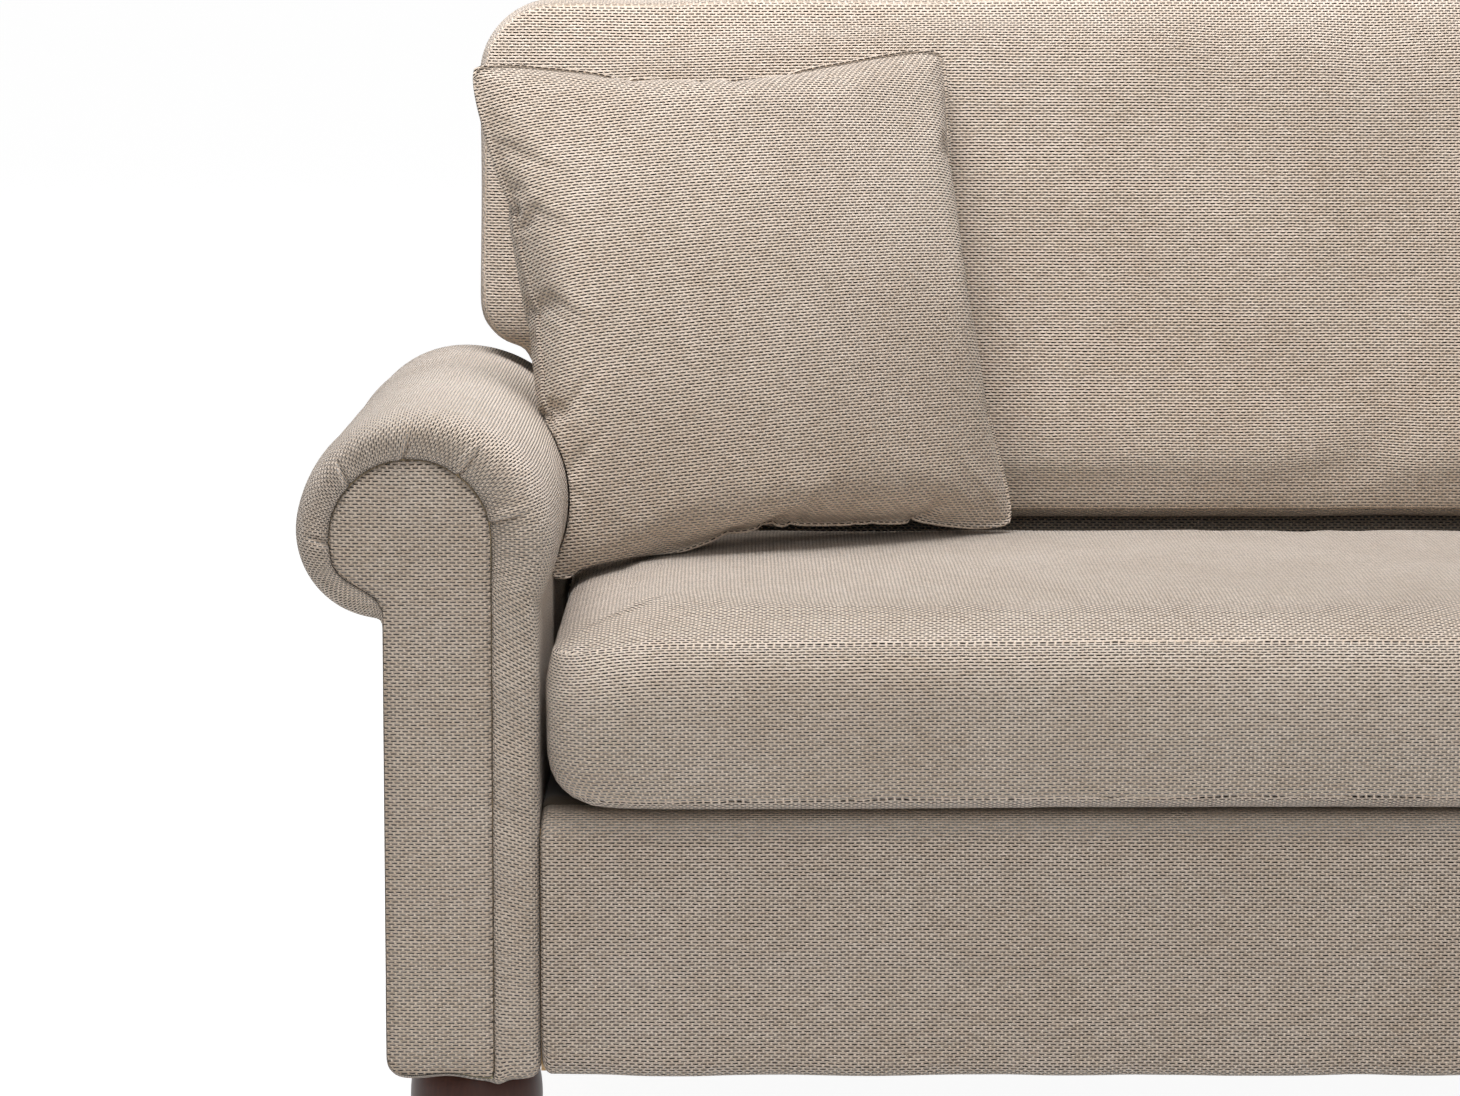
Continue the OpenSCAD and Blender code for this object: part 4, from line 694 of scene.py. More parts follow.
def pad_patches(low, high, bevel, count_x, count_y, seed):
    """A flat pad: its sides are rounded by a bevel, and its top is a little uneven. Rings run inward from
    the sides by scaling the plan towards the middle."""
    half = np.array([high.x - low.x, high.y - low.y]) / 2
    centre = np.array([high.x + low.x, high.y + low.y]) / 2
    across, deep = np.linspace(-1, 1, count_x)[:-1], np.linspace(-1, 1, count_y)[:-1]
    a = np.concatenate([across, np.ones(count_y - 1), -across, -np.ones(count_y - 1)])
    b = np.concatenate([-np.ones(count_x - 1), deep, np.ones(count_x - 1), -deep])
    turn = np.radians(np.linspace(-90, 90, 13))
    inset = np.concatenate([[0.02], bevel * (1 - np.cos(turn)),
                            np.linspace(bevel, half.min() * 0.98, 30)[1:]])
    thick = high.z - low.z
    lift = np.where(turn < 0, bevel * (1 + np.sin(turn)), thick - bevel * (1 - np.sin(turn)))
    lift = np.concatenate([[0.0], lift, np.full(29, thick)])
    plan = np.stack([a, b], 1) * half * (1 - inset[:, None, None] / half)
    uneven = 0.0012 * ripple(plan[..., 0], plan[..., 1], 0.12, seed)
    z = low.z + lift[:, None] + np.where((lift > thick - 1e-6)[:, None], uneven, 0)
    points = np.concatenate([plan + centre, z[..., None]], -1)
    points = np.concatenate([points, points[-1:] * [0, 0, 1] + np.append(centre, 0)])
    uv = np.concatenate([points, points[:, :1]], 1)
    return [[points, uv[..., :2] + uv[..., 2:] * [0, 1]]]


deck_low, deck_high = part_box("seat_deck")
deck = grid_mesh("deck_pad_lined", pad_patches(deck_low, deck_high, 0.0065, 150, 60, 41),
                 lining("lining_plain_weave", "#6e6254", "#544a3e", 0.0011))
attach(deck, "frame")
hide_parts("seat_deck")

# Back frame cover
#
# The padded back behind the loose cushion, covered all round. The outside panel is closed by hand along a
# sunk seam.

deck_z = 0.324
lean = math.radians(12)
back_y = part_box("back_cover")[0].y
back_t = 0.064
back_w, back_low_w = 0.7498, 0.7652
back_low, back_taper, back_high, back_corner = 0.155, 0.211, 0.6, 0.06


def leaned(x, d, h):
    """Points of the upright back, d behind its front and h up its slope, leaned back over the deck."""
    return np.stack([x + 0 * d, back_y + d * math.cos(lean) + h * math.sin(lean),
                     deck_z - d * math.sin(lean) + h * math.cos(lean)], -1)


def back_side():
    """Left half of the back's outline, up from the deck to the middle of the top. Low down it bulges until
    it presses on the roll of the arm."""
    h = np.linspace(back_low - 0.02, back_taper + 0.02, 40)
    on_arm = roll_x - np.sqrt(roll_r ** 2 - (deck_z + h * math.cos(lean) - roll_z) ** 2) + 0.0015
    pressed = np.clip(on_arm, back_w, back_low_w + 0.004)
    return np.concatenate([
        line([-back_low_w, 0.0], [-back_low_w, back_low - 0.021], 30),
        np.stack([-pressed, h], 1),
        line([-back_w, back_taper + 0.021], [-back_w, back_high - back_corner], 60),
        circle(-back_w + back_corner, back_high - back_corner, back_corner, np.linspace(180, 90, 26)),
        line([-back_w + back_corner + 0.002, back_high], [0, back_high], 120), [[0, back_high]]])


left = back_side()
whole = np.concatenate([left, (left * [-1, 1])[::-1][1:]])
whole = rounded(whole, 560, 6)
turn_out = -right_of(whole)
turn_out[0], turn_out[-1] = turn_out[1], turn_out[-2]

# Rows from the front seam to the rear one: distance behind the front and inset from the outline
box_rows = np.array([[0.0016, 0.0042], [0.0006, 0.0022], [0.003, 0.0006], [0.008, 0.0], [0.016, 0.0],
                     [0.032, 0.0], [0.046, 0.0], [0.055, 0.0003], [0.060, 0.0014], [0.0622, 0.0034],
                     [0.0612, 0.005]])
swell = 0.0008 * ripple(arc_lengths(whole)[None, :], box_rows[:, :1], 0.09, 51)
x = whole[None, :, 0] - turn_out[None, :, 0] * (box_rows[:, 1:] + swell)
h = whole[None, :, 1] - turn_out[None, :, 1] * (box_rows[:, 1:] + swell)
h = np.maximum(h, 0.0003 + box_rows[:, :1] * math.tan(lean))
box_uv = pairs(arc_lengths(whole), box_rows[:, :1] + bump_row / 2)
panels = [[leaned(x, box_rows[:, :1], h), box_uv]]
for rear in (False, True):
    trim = whole - turn_out * (0.005 if rear else 0.0042)
    trim[:, 1] = np.maximum(trim[:, 1], back_t * math.tan(lean) if rear else 0.0003)
    ramp = [[0, 0.002, 0.006, 0.02, 0.08, 0.3], [0.0, 0.0016, 0.0026, 0.0036, 0.0050, 0.0056]]
    x, h, d = facing_points(trim, trim[:, 1].min(), trim[:, 1].max(), 110, 170, ramp, low_edge=False)
    d = d + 0.0008 * ripple(x, h, 0.2, 52 + rear) * ease(d, 0.001, 0.004)
    d = 0.0612 + 0.5 * d if rear else 0.0040 - d
    d = np.clip(d, -0.0004, back_t + 0.0004)
    panels.append([leaned(x, d, h), np.stack([x, h], -1)])
back_cloth = grid_mesh("back_frame_cloth", panels, linen)
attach(back_cloth, "frame")
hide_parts("back_cover")

# Feet
#
# Turned beech feet, stained nearly black with a red undertone and lacquered, so that they carry one soft
# highlight down their side. The middle foot is a plain round block.

stained, tree, shader = finish("beech_stained_lacquered", Roughness=0.45, IOR=1.4, Coat_Weight=0.1,
                               Coat_Roughness=0.25)
place = add(tree, "TexCoord").outputs["Object"]
spread = add(tree, "Mapping", {"Vector": place, "Scale": [240.0, 240.0, 14.0]})
grain = add(tree, "TexNoise", {"Vector": spread, "Scale": 1.0, "Detail": 4.0, "Distortion": 0.5})
surface(tree, shader, grain, "#2a1109", "#4d2616", grain, 0.08, 0.0002)

foot_h = 0.1
glide_t = 0.004
bun_r, bun_h, top_r, neck_r = 0.055, 0.030, 0.048, 0.027
foot_side = np.concatenate([
    [[0.0, glide_t], [neck_r + 0.0025, glide_t]],
    circle(neck_r + 0.002, glide_t + 0.006, 0.006, np.linspace(-70, 80, 14)),
    [[neck_r + 0.0003, glide_t + 0.0135], [neck_r, glide_t + 0.0165], [neck_r + 0.0006, glide_t + 0.0195]],
    circle(bun_r - bun_h, foot_h - bun_h, bun_h, np.linspace(-66, 0, 22)),
    np.stack([top_r + (bun_r - top_r) * np.cos(np.linspace(0.15, math.pi / 2, 12)),
              foot_h - bun_h + bun_h * np.sin(np.linspace(0.15, math.pi / 2, 12))], 1),
    [[0.0, foot_h]]])


def lathe(side, centre, count=112):
    """A profile of radius and height turned round an upright axis."""
    turn = np.linspace(0, 2 * math.pi, count + 1)
    radius, height = side[:, :1], side[:, 1:]
    x, y = centre[0] + radius * np.cos(turn[:-1]), centre[1] + radius * np.sin(turn[:-1])
    return [[np.stack([x, y, height + 0 * x], -1), pairs(turn * 0.04, arc_lengths(side)[:, None])]]


for name in ("front_foot_left", "front_foot_right", "rear_foot_left", "rear_foot_right"):
    low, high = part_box(name)
    centre = ((low.x + high.x) / 2, (low.y + high.y) / 2)
    foot = grid_mesh("turned_" + name, lathe(foot_side, centre), stained)
    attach(foot, "frame")
    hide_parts(name)
repaint(["centre_foot"], stained)

felt, tree, shader = finish("felt_pressed_dark", Roughness=0.98, IOR=1.4, Sheen_Weight=0.4)
place = add(tree, "TexCoord").outputs["Object"]
fibre = add(tree, "TexNoise", {"Vector": place, "Scale": 1400.0, "Detail": 4.0})
surface(tree, shader, fibre, "#1f1e1d", "#3a3937", fibre, 0.6, 0.0005)
repaint(["glides"], felt)

# Webbing and dust cover
#
# Jute webbing is stretched up and across the open back. Thin black spunbonded cloth is stapled tight under
# the base, so that it shows no folds, and it is cut round the middle foot.

webbing, tree, shader = finish("jute_webbing_woven", Roughness=0.95, Sheen_Weight=0.2)
place = add(tree, "TexCoord").outputs["Object"]
strands = add(tree, "TexWave", {"Vector": place, "Scale": 160.0, "Distortion": 1.2, "Detail": 1.0})
surface(tree, shader, strands, "#8d7350", "#b89b72", strands, 0.5, 0.0008)
repaint(["back_webbing"], webbing)

spunbond, tree, shader = finish("spunbond_black_cloth", Roughness=0.9, Sheen_Weight=0.3)
place = add(tree, "TexCoord").outputs["Object"]
fibres = add(tree, "TexNoise", {"Vector": place, "Scale": 700.0, "Detail": 5.0, "Distortion": 1.5})
surface(tree, shader, fibres, "#161616", "#333232", fibres, 0.4, 0.0003)
low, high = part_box("dust_cover")
foot_low, foot_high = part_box("centre_foot")
bolt_at = (np.array(foot_low) + np.array(foot_high))[:2] / 2
bolt_hole = 0.006
turn = np.linspace(0, 2 * math.pi, 321)[:-1]
round_hole = np.stack([np.cos(turn), np.sin(turn)], 1)
square = round_hole / np.abs(round_hole).max(1)[:, None]
border = np.where(square > 0, square * (np.array(high)[:2] - bolt_at),
                  square * (bolt_at - np.array(low)[:2]))
reach = (np.linspace(0, 1, 30) ** 1.6)[:, None, None]
ring = bolt_at + round_hole * bolt_hole * (1 - reach) + border * reach
level = (low.z + high.z) / 2 + 0.0004 * ripple(ring[..., 0], ring[..., 1], 0.2, 81)


def closed_round(grid):
    """A grid with its first column once more after its last."""
    return np.concatenate([grid, grid[:, :1]], 1)


under_grid = np.concatenate([ring, level[..., None]], -1)
under_cloth = grid_mesh("dust_cover_cloth", [[under_grid, closed_round(ring)]], spunbond, closed=False)
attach(under_cloth, "frame")
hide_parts("dust_cover")

# Seat cushion
#
# One long boxed cushion: a crowned top panel, a boxing strip and a bottom panel, sewn together with plain
# seams that pull the cloth in. The corners are rounded off and gathered a little.

seat_low, seat_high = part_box("seat_cushion_cover")
seat_half = np.array([seat_high.x - seat_low.x, seat_high.y - seat_low.y]) / 2
seat_mid = np.array([0.0, (seat_high.y + seat_low.y) / 2])
seat_mid_3d = np.append(seat_mid, (seat_high.z + seat_low.z) / 2)
seat_z = seat_low.z
under, boxing, crown = 0.013, 0.126, 0.0255
seat_r = 0.042


def round_plan(half, corner, count, fine):
    """Even points anticlockwise round a rectangle with round corners, with more of them near each corner."""
    x, y = half - corner
    path = np.concatenate([
        circle(x, -y, corner, np.linspace(-90, 0, 40)),
        circle(x, y, corner, np.linspace(0, 90, 40)), circle(-x, y, corner, np.linspace(90, 180, 40)),
        circle(-x, -y, corner, np.linspace(180, 270, 40)), [[x, -half[1]]]])
    run = arc_lengths(path)
    near = np.concatenate([run[k] + np.linspace(-0.07, 0.07, fine) for k in (20, 60, 100, 140)])
    places = np.unique(np.round(np.concatenate([np.linspace(0, run[-1], count)[:-1], near % run[-1]]), 4))
    places = places[np.concatenate([[True], np.diff(places) > 0.001])]
    return resample(path, 0, places), np.append(places, run[-1])


def merged(grids):
    """Points of several grids with the shared ones counted once, the place of each grid point among them,
    and the squares and triangles between them."""
    points = np.concatenate([g.reshape(-1, 3) for g in grids])
    _, first, place = np.unique(np.round(points, 5), axis=0, return_index=True, return_inverse=True)
    faces, start = [], 0
    for g in grids:
        rows, columns = g.shape[:2]
        i = np.arange(rows - 1)[:, None] * columns + np.arange(columns - 1)[None, :] + start
        faces.append(np.stack([i, i + 1, i + columns + 1, i + columns], -1).reshape(-1, 4))
        start += rows * columns
    place = place.ravel()
    faces = place[np.concatenate(faces)]
    point_end = faces[:, 2] == faces[:, 3]
    return points[first], place, faces[~point_end].tolist() + faces[point_end][:, :3].tolist()


def filled(grids, pressure, frames, bending=0.5):
    """Fills a closed case with air. The grids meet at their edges. Blender's cloth runs on them for some
    frames without weight, and the moved grids come back."""
    points, place, faces = merged(grids)
    mesh = bpy.data.meshes.new("case")
    mesh.from_pydata(points.tolist(), [], faces)
    shell = bmesh.new()
    shell.from_mesh(mesh)
    bmesh.ops.recalc_face_normals(shell, faces=shell.faces)
    shell.to_mesh(mesh)
    shell.free()
    case = bpy.data.objects.new("case", mesh)
    bpy.context.collection.objects.link(case)
    air = case.modifiers.new("air", "CLOTH")
    air.settings.quality = 6
    air.settings.mass = 0.25
    air.settings.tension_stiffness = air.settings.compression_stiffness = 15
    air.settings.shear_stiffness = 4
    air.settings.bending_stiffness = bending
    air.settings.tension_damping = air.settings.compression_damping = 15
    air.settings.air_damping = 3
    air.settings.use_pressure = True
    air.settings.uniform_pressure_force = pressure
    air.settings.effector_weights.gravity = 0
    air.collision_settings.use_collision = False
    air.point_cache.frame_end = frames + 1
    for frame in range(1, frames + 1):
        bpy.context.scene.frame_set(frame)
    result = case.evaluated_get(bpy.context.evaluated_depsgraph_get()).to_mesh()
    moved = np.zeros(len(points) * 3)
    result.vertices.foreach_get("co", moved)
    bpy.data.objects.remove(case)
    bpy.context.scene.frame_set(1)
    moved = moved.reshape(-1, 3)[place]
    ends = np.cumsum([g.shape[0] * g.shape[1] for g in grids])
    return [part.reshape(g.shape) for part, g in zip(np.split(moved, ends[:-1]), grids)]


def swelled(grids, row_picks, column_step, pressure, frames, most, smooth=0):
    """The grids of a closed cushion cover after air has filled it, no point moved by more than a limit. The
    simulation runs on some of the rows and columns, and the others follow the ones beside them."""
    columns = grids[0].shape[1]
    picks = np.append(np.arange(0, columns, column_step), columns)
    coarse = [np.concatenate([g, g[:, :1]], 1)[rows][:, picks] for g, rows in zip(grids, row_picks)]
    out = []
    for g, rows, before, after in zip(grids, row_picks, coarse, filled(coarse, pressure, frames)):
        move = after - before
        far = np.linalg.norm(move, axis=-1, keepdims=True)
        move = move * np.minimum(1, most / np.maximum(far, 1e-9))
        for _ in range(smooth):
            move[1:-1] = (move[:-2] + 2 * move[1:-1] + move[2:]) / 4
            move[:, 1:-1] = (move[:, :-2] + 2 * move[:, 1:-1] + move[:, 2:]) / 4
        fine = np.arange(columns)
        move = np.stack([[np.interp(fine, picks, line_[:, k]) for line_ in move] for k in range(3)], -1)
        low = np.clip(np.searchsorted(rows, np.arange(g.shape[0]), side="right") - 1, 0, len(rows) - 2)
        from_low = np.arange(g.shape[0]) - np.array(rows)[low]
        share = (from_low / (np.array(rows)[low + 1] - np.array(rows)[low]))[:, None, None]
        out.append(g + move[low] * (1 - share) + move[low + 1] * share)
    return out


plan, plan_run = round_plan(seat_half, seat_r, 620, 60)
out = np.roll(plan, -1, 0) - np.roll(plan, 1, 0)
out /= np.linalg.norm(out, axis=1)[:, None]
out = np.stack([out[:, 1], -out[:, 0]], 1)
front = ease(-out[:, 1], 0.2, 0.9)
corner_near = np.exp(-(np.hypot(*(np.abs(plan) - seat_half + seat_r * 0.3).T) / 0.050) ** 2)
sides_in = 0.002 * np.sin(math.pi * (plan[:, 1] / seat_half[1] + 1) / 2) * (np.abs(out[:, 0]) > 0.7)

# The boxing strip, seam to seam: rows of inset and height. At the ends it leans in less, by the share
# end_less.
end_less = 0.5
box_z = np.array([0, .0012, .004, .010, .02, .032, .045, .063, .081, .094, .106, .116, .122, .1248, .126])
box_in = np.array([.0022, .0013, .0006, .0000, -.0008, -.0018, -.0026, -.0030, -.0024, -.0008, .0022,
                   .0066, .0098, .0117, .0130])
pucker = ripple(plan_run[None, :-1], 0 * box_z[:, None], 0.022, 61) * (
    np.exp(-box_z[:, None] / 0.012) + np.exp(-(boxing - box_z[:, None]) / 0.010))
less_in = 1 - end_less * ease(np.abs(out[:, 0]), 0.0, 1.0) * ease(box_z[:, None], 0.09, 0.12)
strip_in = np.where(box_in[:, None] < 0, box_in[:, None] * front, box_in[:, None] * less_in) + sides_in * (
    1 - np.sin(math.pi * box_z / boxing))[:, None] + 0.0004 * pucker
strip_in = strip_in - front * 0.0012 * ripple(plan_run[None, :-1], box_z[:, None] * 1.5, 0.21, 62)


def at_corners(z, near):
    """Heights with the top lowered towards the corners."""
    s = z - seat_z
    return z - near * 0.008 * ease(s, 0.05, 0.139)


def seat_points(inset, height):
    """Points round the plan, moved inward by an inset and raised to a height, with corners rounded off."""
    pos = plan[None] - out[None] * inset[..., None] + seat_mid
    z = at_corners(seat_z + height, corner_near)
    return np.concatenate([pos, z[..., None]], -1)


strip = seat_points(strip_in, under + box_z[:, None] + 0 * strip_in)
box_run = arc_lengths(np.stack([box_z, box_in], 1))
box_run = box_run - box_run[-1] + 100.75 * bump_row
strip_uv = np.stack(np.broadcast_arrays(plan_run[None, :], box_run[:, None]), -1)


def crown_height(x, y):
    """Crown's share at a place on the plan. It rises steeply from the seam, then slowly along the front,
    and quicker along the ends and the back, where the cushion is pressed between its neighbours."""
    share = 1.0
    for far, seam, steep, slow in ((seat_half[0] - np.abs(x), 1 - end_less, 0.010, 0.035),
                                   (seat_half[1] + y, 1, 0.018, 0.075), (seat_half[1] - y, 1, 0.010, 0.030)):
        far = np.maximum(far - box_in[-1] * seam, 0)
        share = share * (1 - 0.5 * np.exp(-far / steep) - 0.5 * np.exp(-far / slow))
    return share


# Rings of the top panel. Near the seam they lie at even distances from it, and at the middle they close up.
ring_in = np.concatenate([[0, .0008, .0018, .0032, .005, .0075, .0105, .014, .018, .023, .029, .036],
                          np.linspace(0.045, seat_half[1], 44)])
ring_q = (ring_in / seat_half[1])[:, None]
ratio = seat_half[1] / seat_half[0]
ring_scale = np.stack([1 - ratio * ring_q - (1 - ratio) * ring_q ** 4, 1 - ring_q], -1)
seam_in = strip_in[-1]
top_plan = (plan - out * seam_in[:, None])[None] * ring_scale
rise = crown * crown_height(top_plan[..., 0], top_plan[..., 1])
seam_far = ring_in[:, None] + 0 * rise
rise = rise * ease(seam_far, -0.001, 0.001) * (seam_far > 0)
rise = rise + 0.0007 * ease(seam_far, 0.0, 0.003) * np.exp(-seam_far / 0.012)
rise = rise + 0.0009 * ripple(top_plan[..., 0], top_plan[..., 1], 0.23, 63) * ease(seam_far, 0.0, 0.08)
along_seam = ripple(plan_run[None, :-1], 0 * seam_far, 0.026, 64)
rise = rise + 0.0005 * along_seam * np.exp(-seam_far / 0.016) * ease(seam_far, 0, 0.004)
for sx in (-1, 1):
    to_corner = top_plan - [sx * (seat_half[0] - 0.006), -(seat_half[1] - 0.006)]
    far = np.linalg.norm(to_corner, axis=-1)
    heading = np.arctan2(to_corner[..., 1], -sx * to_corner[..., 0])
    fan = np.sin(heading * 11 + 0.6) * np.exp(-far / 0.038)
    rise = rise + 0.0022 * fan * ease(far, 0.004, 0.022) * ease(seam_far, 0, 0.008)
to_corner = np.hypot(*np.moveaxis(np.abs(top_plan) - seat_half + seat_r * 0.3, -1, 0))
by_seam = np.exp(-seam_far / 0.012)
top_near = corner_near[None] * by_seam + np.exp(-(to_corner / 0.05) ** 2) * (1 - by_seam)
top_z = at_corners(seat_z + under + boxing + rise, top_near)
top = np.concatenate([top_plan + seat_mid, top_z[..., None]], -1)
weave_on = (box_run[-1] + seat_half[1] - box_in[-1]) % (2 * bump_row)
top_uv = np.concatenate([top_plan, top_plan[:, :1]], 1) + [0, weave_on]

under_in = np.array([.0022, .0018, .0026, .0055, .011, .018, .028, .045, .08, .15, .25, 1.0])
under_z = under * (1 - np.array([0, .10, .26, .48, .68, .84, .95, 1.0, 1.0, 1.0, 1.0, 1.0]))
bottom_plan = plan[None] * (1 - under_in[:, None, None] / seat_half.min())
near_in = under_in[:8, None, None]
seam_step = (strip_in[0] - under_in[0])[None, :, None] * np.exp(-(near_in - under_in[0]) / 0.02)
bottom_plan[:8] = plan[None] - out[None] * (near_in + seam_step)
bottom_plan[-1] = 0
bottom_near = corner_near[None] * np.exp(-under_in[:, None] / 0.05)
bottom_z = at_corners(seat_z + under_z[:, None] + 0 * bottom_near, bottom_near)
bottom = np.concatenate([bottom_plan + seat_mid, bottom_z[..., None]], -1)
bottom_flat = bottom_plan - out[None] * np.where(np.arange(12) < 8, under - under_z, 0)[:, None, None]
weave_on = (seat_half[1] - under_in[0] + 0.6 * bump_row) % (2 * bump_row)
bottom_uv = np.concatenate([bottom_flat, bottom_flat[:, :1]], 1) + [0, weave_on]


def drawn_round(points):
    """Rounds the lower edge at both ends: points near an end move inward by a quarter circle in height."""
    x, y, z = points[..., 0], points[..., 1], points[..., 2]
    low = end_round - np.clip(z - seat_z, 0, end_round)
    move = end_round - np.sqrt(end_round ** 2 - low ** 2)
    end = ease(np.abs(x), seat_half[0] - 0.13, seat_half[0])
    near_front = ease(-(y - seat_mid[1]), seat_half[1] - 0.1, seat_half[1])
    corner = np.exp(-((np.abs(x) - seat_half[0] + 0.01) / 0.05) ** 2) * near_front
    return np.stack([x - np.sign(x) * end * move, y + 0.22 * move * corner, z], -1)


end_round = 0.047
shapes = [drawn_round(part) for part in (strip, top, bottom)]
strip_rows = [0, 4, 6, 8, 10, 12, 14]
top_rows = [0, 5, 8, 10] + list(range(12, len(ring_in) - 1, 3)) + [len(ring_in) - 1]
shapes = swelled(shapes, (strip_rows, top_rows, [0, 3, 5, 7, 8, 9, 10, 11]), 4, 3.0, 10, 0.007)
for part in shapes:
    seam_z = seat_z + under + boxing - 0.012
    tallest = max(p[..., 2].max() for p in shapes)
    stretch = (seat_high.z - seam_z) / (tallest - seam_z)
    raised = seam_z + (part[..., 2] - seam_z) * stretch
    part[..., 2] = np.where(part[..., 2] > seam_z, raised, part[..., 2])
    part[..., 0] = np.clip(part[..., 0], -seat_half[0], seat_half[0])
    part[..., 2] = np.maximum(part[..., 2], seat_z + 0.0002)
seat = grid_mesh("seat_cushion_cloth", list(zip(shapes, (strip_uv, top_uv, bottom_uv))), linen)
core = [seat_mid_3d + (part - seat_mid_3d) * [0.985, 0.965, 0.86] for part in shapes]
core = [[part[:, ::2], uv[:, ::2]] for part, uv in zip(core, (strip_uv, top_uv, bottom_uv))]
core = grid_mesh("seat_foam_core", core, padding)
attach(core, "seat_cushion")
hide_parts("seat_cushion_foam")
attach(seat, "seat_cushion")
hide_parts("seat_cushion_cover")

# Seat zip
#
# A metal zip along the back of the cushion: cloth tape with two rows of cast teeth that mesh in the middle.
# The tape is sewn into the cover, and the slider runs along the teeth.


def zip_teeth(name, low, high, along_y, body):
    """Small rounded blocks every 2.5 mm along the tape, turn about above and below its middle line."""
    pitch, tooth = 0.0025, np.array([0.0015, 0.0011, 0.0032])
    end_gap, proud = 0.01, 0.0004
    count = int((high.x - low.x - 2 * end_gap) / pitch)
    unit = np.array([[-1, -1, -1], [1, -1, -1], [1, 1, -1], [-1, 1, -1],
                     [-.8, -.8, 1], [.8, -.8, 1], [.8, .8, 1], [-.8, .8, 1]]) / 2
    unit = unit[:, [0, 2, 1]] * [1, -1, 1]
    row = np.arange(count)
    side = np.where(row % 2 == 0, 1.0, -1.0) * 0.0009
    x = low.x + end_gap + row * pitch
    if along_y:
        place = np.stack([x, 0 * row + high.y + proud, (low.z + high.z) / 2 + side], 1)
        corners = unit * tooth * [1, -1, 1]
    else:
        place = np.stack([x, (low.y + high.y) / 2 + side, 0 * row + low.z - proud], 1)
        corners = (unit * tooth)[:, [0, 2, 1]]
    points = (place[:, None] + corners[None]).reshape(-1, 3)
    faces = np.array([[0, 3, 2, 1], [4, 5, 6, 7], [0, 1, 5, 4], [1, 2, 6, 5], [2, 3, 7, 6], [3, 0, 4, 7]])
    faces = (row[:, None, None] * 8 + faces[None]).reshape(-1, 4)
    mesh = bpy.data.meshes.new(name)
    mesh.from_pydata(points.tolist(), [], faces.tolist())
    teeth = finished(name, mesh, brass)
    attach(teeth, body)


brass, tree, shader = finish("zip_brass_aged", Roughness=0.38, Metallic=1.0)
shader.inputs["Base Color"].default_value = linear("#9c8560")
tape, tree, shader = finish("zip_tape_herringbone", Roughness=0.9, Sheen_Weight=0.2)
place = add(tree, "TexCoord").outputs["Object"]
weft = add(tree, "TexWave", {"Vector": place, "Scale": 330.0, "Distortion": 0.6}, bands_direction="DIAGONAL")
tree.links.new(mix(tree, weft.outputs[0], "#7c6c5b", "#9b8a77"), shader.inputs["Base Color"])
repaint(["seat_zip", "back_zip"], tape)
repaint(["seat_zip_slider", "back_zip_slider"], brass)
zip_low, zip_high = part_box("seat_zip")
zip_teeth("seat_zip_teeth", zip_low, zip_high, True, "seat_cushion")
zip_low, zip_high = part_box("back_zip")
zip_teeth("back_zip_teeth", zip_low, zip_high, False, "back_cushion")

# Back cushion
#
# One long boxed cushion filled with fibre, cut to a T so that its ears lie out over the arms. The front
# panel is crowned, and a stitched seam runs all round it.

cushion_z0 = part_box("back_cushion_cover")[0].z
cushion_z1 = cushion_z0 + 0.486
notch_r = 0.1082
ear_x, ear_r, top_round, body_r = 0.847, 0.042, 0.072, 0.026
notch_end = math.degrees(math.acos((ear_x - ear_r - 0.006 - roll_x) / notch_r))
ear_z = roll_z + notch_r + 0.001
edge_w = back_w
half_t = np.concatenate([
    line([0, cushion_z0], [edge_w - body_r, cushion_z0], 120),
    circle(edge_w - body_r, cushion_z0 + body_r, body_r, np.linspace(-90, 0, 16)),
    circle(roll_x, roll_z, notch_r, np.linspace(180, notch_end, 50)),
    circle(ear_x - ear_r, ear_z + ear_r, ear_r, np.linspace(-88, 0, 26)),
    line([ear_x, ear_z + ear_r + 0.002], [ear_x, cushion_z1 - top_round], 40),
    circle(ear_x - top_round, cushion_z1 - top_round, top_round, np.linspace(0, 88, 30)),
    np.stack([(ear_x - top_round) * (1 - np.linspace(0.01, 1, 110)),
              cushion_z1 + 0.008 * (1 - (1 - np.linspace(0.01, 1, 110)) ** 2)], 1)])
flat_x, flat_z0, flat_z1, flat_r = edge_w - 0.09, cushion_z0 + 0.096, cushion_z1 - 0.096, 0.06
half_flat = np.concatenate([
    line([0, flat_z0], [flat_x - flat_r, flat_z0], 120),
    circle(flat_x - flat_r, flat_z0 + flat_r, flat_r, np.linspace(-90, 0, 16)),
    line([flat_x, flat_z0 + flat_r + 0.001], [flat_x, flat_z1 - flat_r], 116),
    circle(flat_x - flat_r, flat_z1 - flat_r, flat_r, np.linspace(0, 90, 30)),
    line([flat_x - flat_r - 0.001, flat_z1], [0, flat_z1], 109), [[0, flat_z1]]])
paired = np.hstack([half_t, half_flat])
paired = np.concatenate([paired, (paired * [-1, 1, -1, 1])[::-1][1:-1], paired[:1]])
paired = rounded(paired, 1400, 10)
run = arc_lengths(paired[:, :2])
paired = resample(paired, 0, np.linspace(0, run[-1], 860)[:-1])
t_edge, plateau = paired[:, :2], paired[:, 2:]
t_run = np.linspace(0, run[-1], 860)
out = np.roll(t_edge, -1, 0) - np.roll(t_edge, 1, 0)
out /= np.linalg.norm(out, axis=1)[:, None]
out = np.stack([out[:, 1], -out[:, 0]], 1)


def on_back(x, n, z):
    """Points n in front of the back frame's leaning front plane, at a width and a height."""
    plane = back_y + (z - deck_z) * math.tan(lean) - 0.0003
    return np.stack([x, plane - n, z], -1)


